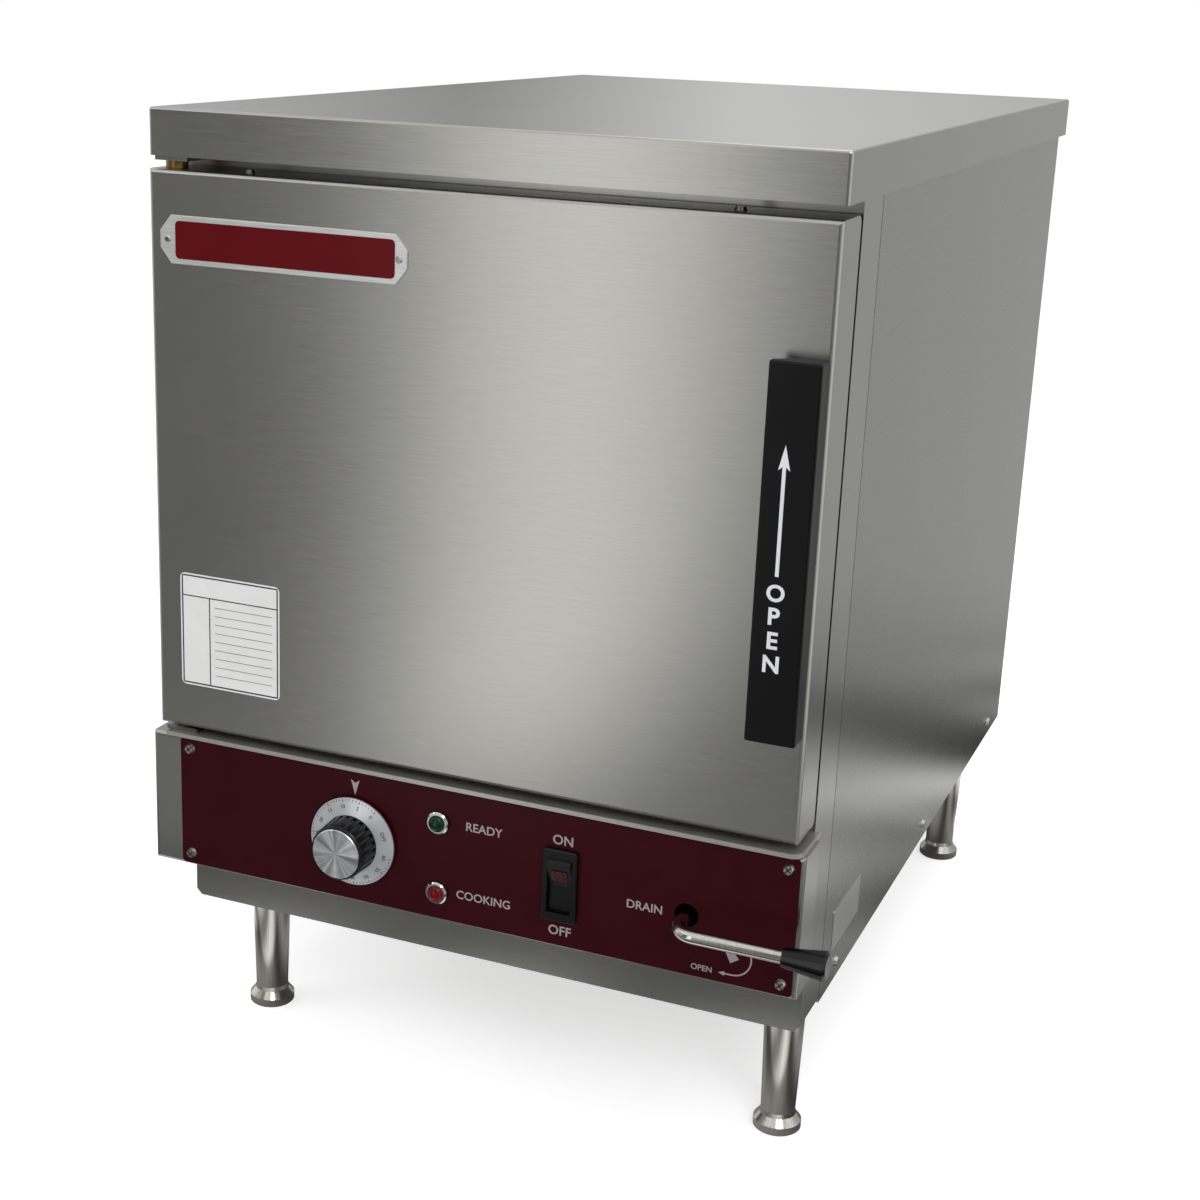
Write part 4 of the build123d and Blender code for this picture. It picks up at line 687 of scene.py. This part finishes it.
def set_stops(ramp, levels):
    """Grey levels along a colour ramp."""
    stops = ramp.color_ramp.elements
    while len(stops) < len(levels):
        stops.new(0.5)
    for stop, (where, bright) in zip(stops, levels):
        stop.position = where
        stop.color = (bright, bright, bright, 1)


# How bright the flags are round the set, as part of a turn and a grey level. 0 is behind the
# steamer, 0.25 is at its left, 0.5 in front and 0.75 at its right.
FLAG_LEVELS = (
    (0.0, 0.60), (0.045, 0.78), (0.085, 0.26), (0.12, 0.5), (0.17, 0.55), (0.24, 1.1), (0.27, 1.1),
    (0.34, 0.55), (0.375, 0.5), (0.40, 0.14), (0.432, 0.12), (0.447, 1.75), (0.467, 1.75),
    (0.482, 0.16), (0.60, 0.26), (0.70, 1.1), (0.74, 1.1), (0.82, 0.6), (0.88, 0.5), (0.93, 0.46),
    (1.0, 0.60))
# How bright the floor looks in reflections, as a grey level at so many metres out from a
# rectangle about as large as the steamer.
# The low level inside the rectangle is a painted shadow of the steamer on the floor.
FLOOR_LEVELS = (
    (0.0, 0.26), (0.015, 1.0), (0.13, 0.9), (0.21, 0.08), (0.30, 0.12), (0.40, 0.45), (1.0, 0.42))


def surround():
    """Grey flags round the set with bright windows between them, which only reflections show.

    Brushed steel takes its light and dark bands from them. Close to the steamer the levels of
    the floor count, broken up by stripes, and further out and up the wall those of the flags.
    """
    reach, wall = 1.7, 1.3
    half_width, half_depth = 0.33, 0.31
    floor_end, flags_start = 0.40, 0.85
    bm = bmesh.new()
    bmesh.ops.create_circle(bm, cap_ends=True, segments=96, radius=reach)
    rim = [edge for edge in bm.edges if edge.is_boundary]
    raised = bmesh.ops.extrude_edge_only(bm, edges=rim)["geom"]
    points = [item for item in raised if isinstance(item, bmesh.types.BMVert)]
    bmesh.ops.translate(bm, vec=(0, 0, wall), verts=points)
    bmesh.ops.translate(bm, vec=(0, 0, 1 * MM), verts=bm.verts)

    material = bpy.data.materials.new("studio_flag_cloth")
    material.use_nodes = True
    tree = material.node_tree
    tree.nodes.clear()
    place = add(tree, "ShaderNodeTexCoord")
    parts = add(tree, "ShaderNodeSeparateXYZ", {}, {0: place.outputs["Object"]})
    ahead = add(tree, "ShaderNodeMath", {"operation": "MULTIPLY", 1: -1.0}, {0: parts.outputs["Y"]})
    angle = add(tree, "ShaderNodeMath", {"operation": "ARCTAN2"},
                {0: parts.outputs["X"], 1: ahead.outputs["Value"]})
    around = add(tree, "ShaderNodeMapRange", {"From Min": -pi, "From Max": pi},
                 {"Value": angle.outputs["Value"]})
    ramp = add(tree, "ShaderNodeValToRGB", {}, {"Fac": around.outputs["Result"]})
    set_stops(ramp, FLAG_LEVELS)
    outside = []
    for axis, half in (("X", half_width), ("Y", half_depth)):
        size = add(tree, "ShaderNodeMath", {"operation": "ABSOLUTE"}, {0: parts.outputs[axis]})
        outside.append(add(tree, "ShaderNodeMath", {"operation": "SUBTRACT", 1: half},
                           {0: size.outputs["Value"]}))
    distance = add(tree, "ShaderNodeMath", {"operation": "MAXIMUM"},
                   {0: outside[0].outputs["Value"], 1: outside[1].outputs["Value"]})
    near = add(tree, "ShaderNodeValToRGB", {}, {"Fac": distance.outputs["Value"]})
    set_stops(near, FLOOR_LEVELS)
    away = add(tree, "ShaderNodeMapRange", {"From Min": floor_end, "From Max": flags_start},
               {"Value": distance.outputs["Value"]})
    stripes = add(tree, "ShaderNodeTexWave", {"bands_direction": "DIAGONAL", "Scale": 3.0},
                  {"Vector": place.outputs["Object"]})
    patchy = add(tree, "ShaderNodeMapRange", {"To Min": 0.25, "To Max": 1.3},
                 {"Value": stripes.outputs["Fac"]})
    floor_tone = add(tree, "ShaderNodeVectorMath", {"operation": "SCALE"},
                     {0: near.outputs["Color"], "Scale": patchy.outputs["Result"]})
    shade = add(tree, "ShaderNodeMix", {"data_type": "RGBA"},
                {"Factor": away.outputs["Result"], 6: floor_tone.outputs["Vector"],
                 7: ramp.outputs["Color"]})
    glow = add(tree, "ShaderNodeEmission", {}, {"Color": shade.outputs[2]})
    add(tree, "ShaderNodeOutputMaterial", {}, {"Surface": glow.outputs["Emission"]})
    flags = as_object(bm, "studio_flags", material)
    for rays in ("camera", "diffuse", "transmission", "volume_scatter", "shadow"):
        setattr(flags, "visible_" + rays, False)


def studio():
    """Soft lamps, a white world and a pale floor.

    Rays from the camera and from glossy or clear surfaces see the world and the floor brighter
    than the light they give, so the backdrop is white and the steamer isn't washed out.
    """
    world_light, floor_glow = 0.55, 0.55
    for name, place, aim, power, width in (
        ("key_lamp", (1.6, -2.6, 2.4), (0.0, 0.0, 0.35), 42, 1.6),
        ("fill_lamp", (-2.4, -1.8, 1.6), (0.0, 0.0, 0.35), 14, 1.8),
        ("top_lamp", (0.2, 0.6, 3.0), (0.0, 0.0, 0.3), 18, 2.0),
    ):
        data = bpy.data.lights.new(name, "AREA")
        data.energy = power
        data.size = width
        lamp = bpy.data.objects.new(name, data)
        lamp.location = place
        lamp.rotation_euler = (Vector(aim) - Vector(place)).to_track_quat("-Z", "Y").to_euler()
        bpy.context.scene.collection.objects.link(lamp)

    world = bpy.data.worlds.new("studio_surround")
    world.use_nodes = True
    tree = world.node_tree
    strength = add(tree, "ShaderNodeMapRange", {"To Min": world_light, "To Max": 1.0},
                   {"Value": seen_by_rays(tree)})
    sky = tree.nodes["Background"]
    sky.inputs["Color"].default_value = (1, 1, 1, 1)
    tree.links.new(strength.outputs["Result"], sky.inputs["Strength"])
    bpy.context.scene.world = world

    bm = bmesh.new()
    bmesh.ops.create_grid(bm, x_segments=1, y_segments=1, size=8)
    material, tree, shader = new_material("studio_floor_paint")
    shader.inputs["Base Color"].default_value = linear("#f2f2f3")
    shader.inputs["Roughness"].default_value = 0.9
    glow = add(tree, "ShaderNodeMath", {"operation": "MULTIPLY", 1: floor_glow},
               {0: seen_by_rays(tree)})
    shader.inputs["Emission Color"].default_value = (1, 1, 1, 1)
    tree.links.new(glow.outputs["Value"], shader.inputs["Emission Strength"])
    as_object(bm, "studio_floor", material)


finish_nodes()
control_panel_print()
handle_print()
timer_dial_print()
nameplate()
door_label()
lamp_domes()
side_seams()
side_plate()
cross_recesses()
spring_coils()
rocker_ridges()
camera()
studio()
surround()
bpy.context.scene.view_settings.view_transform = "Standard"
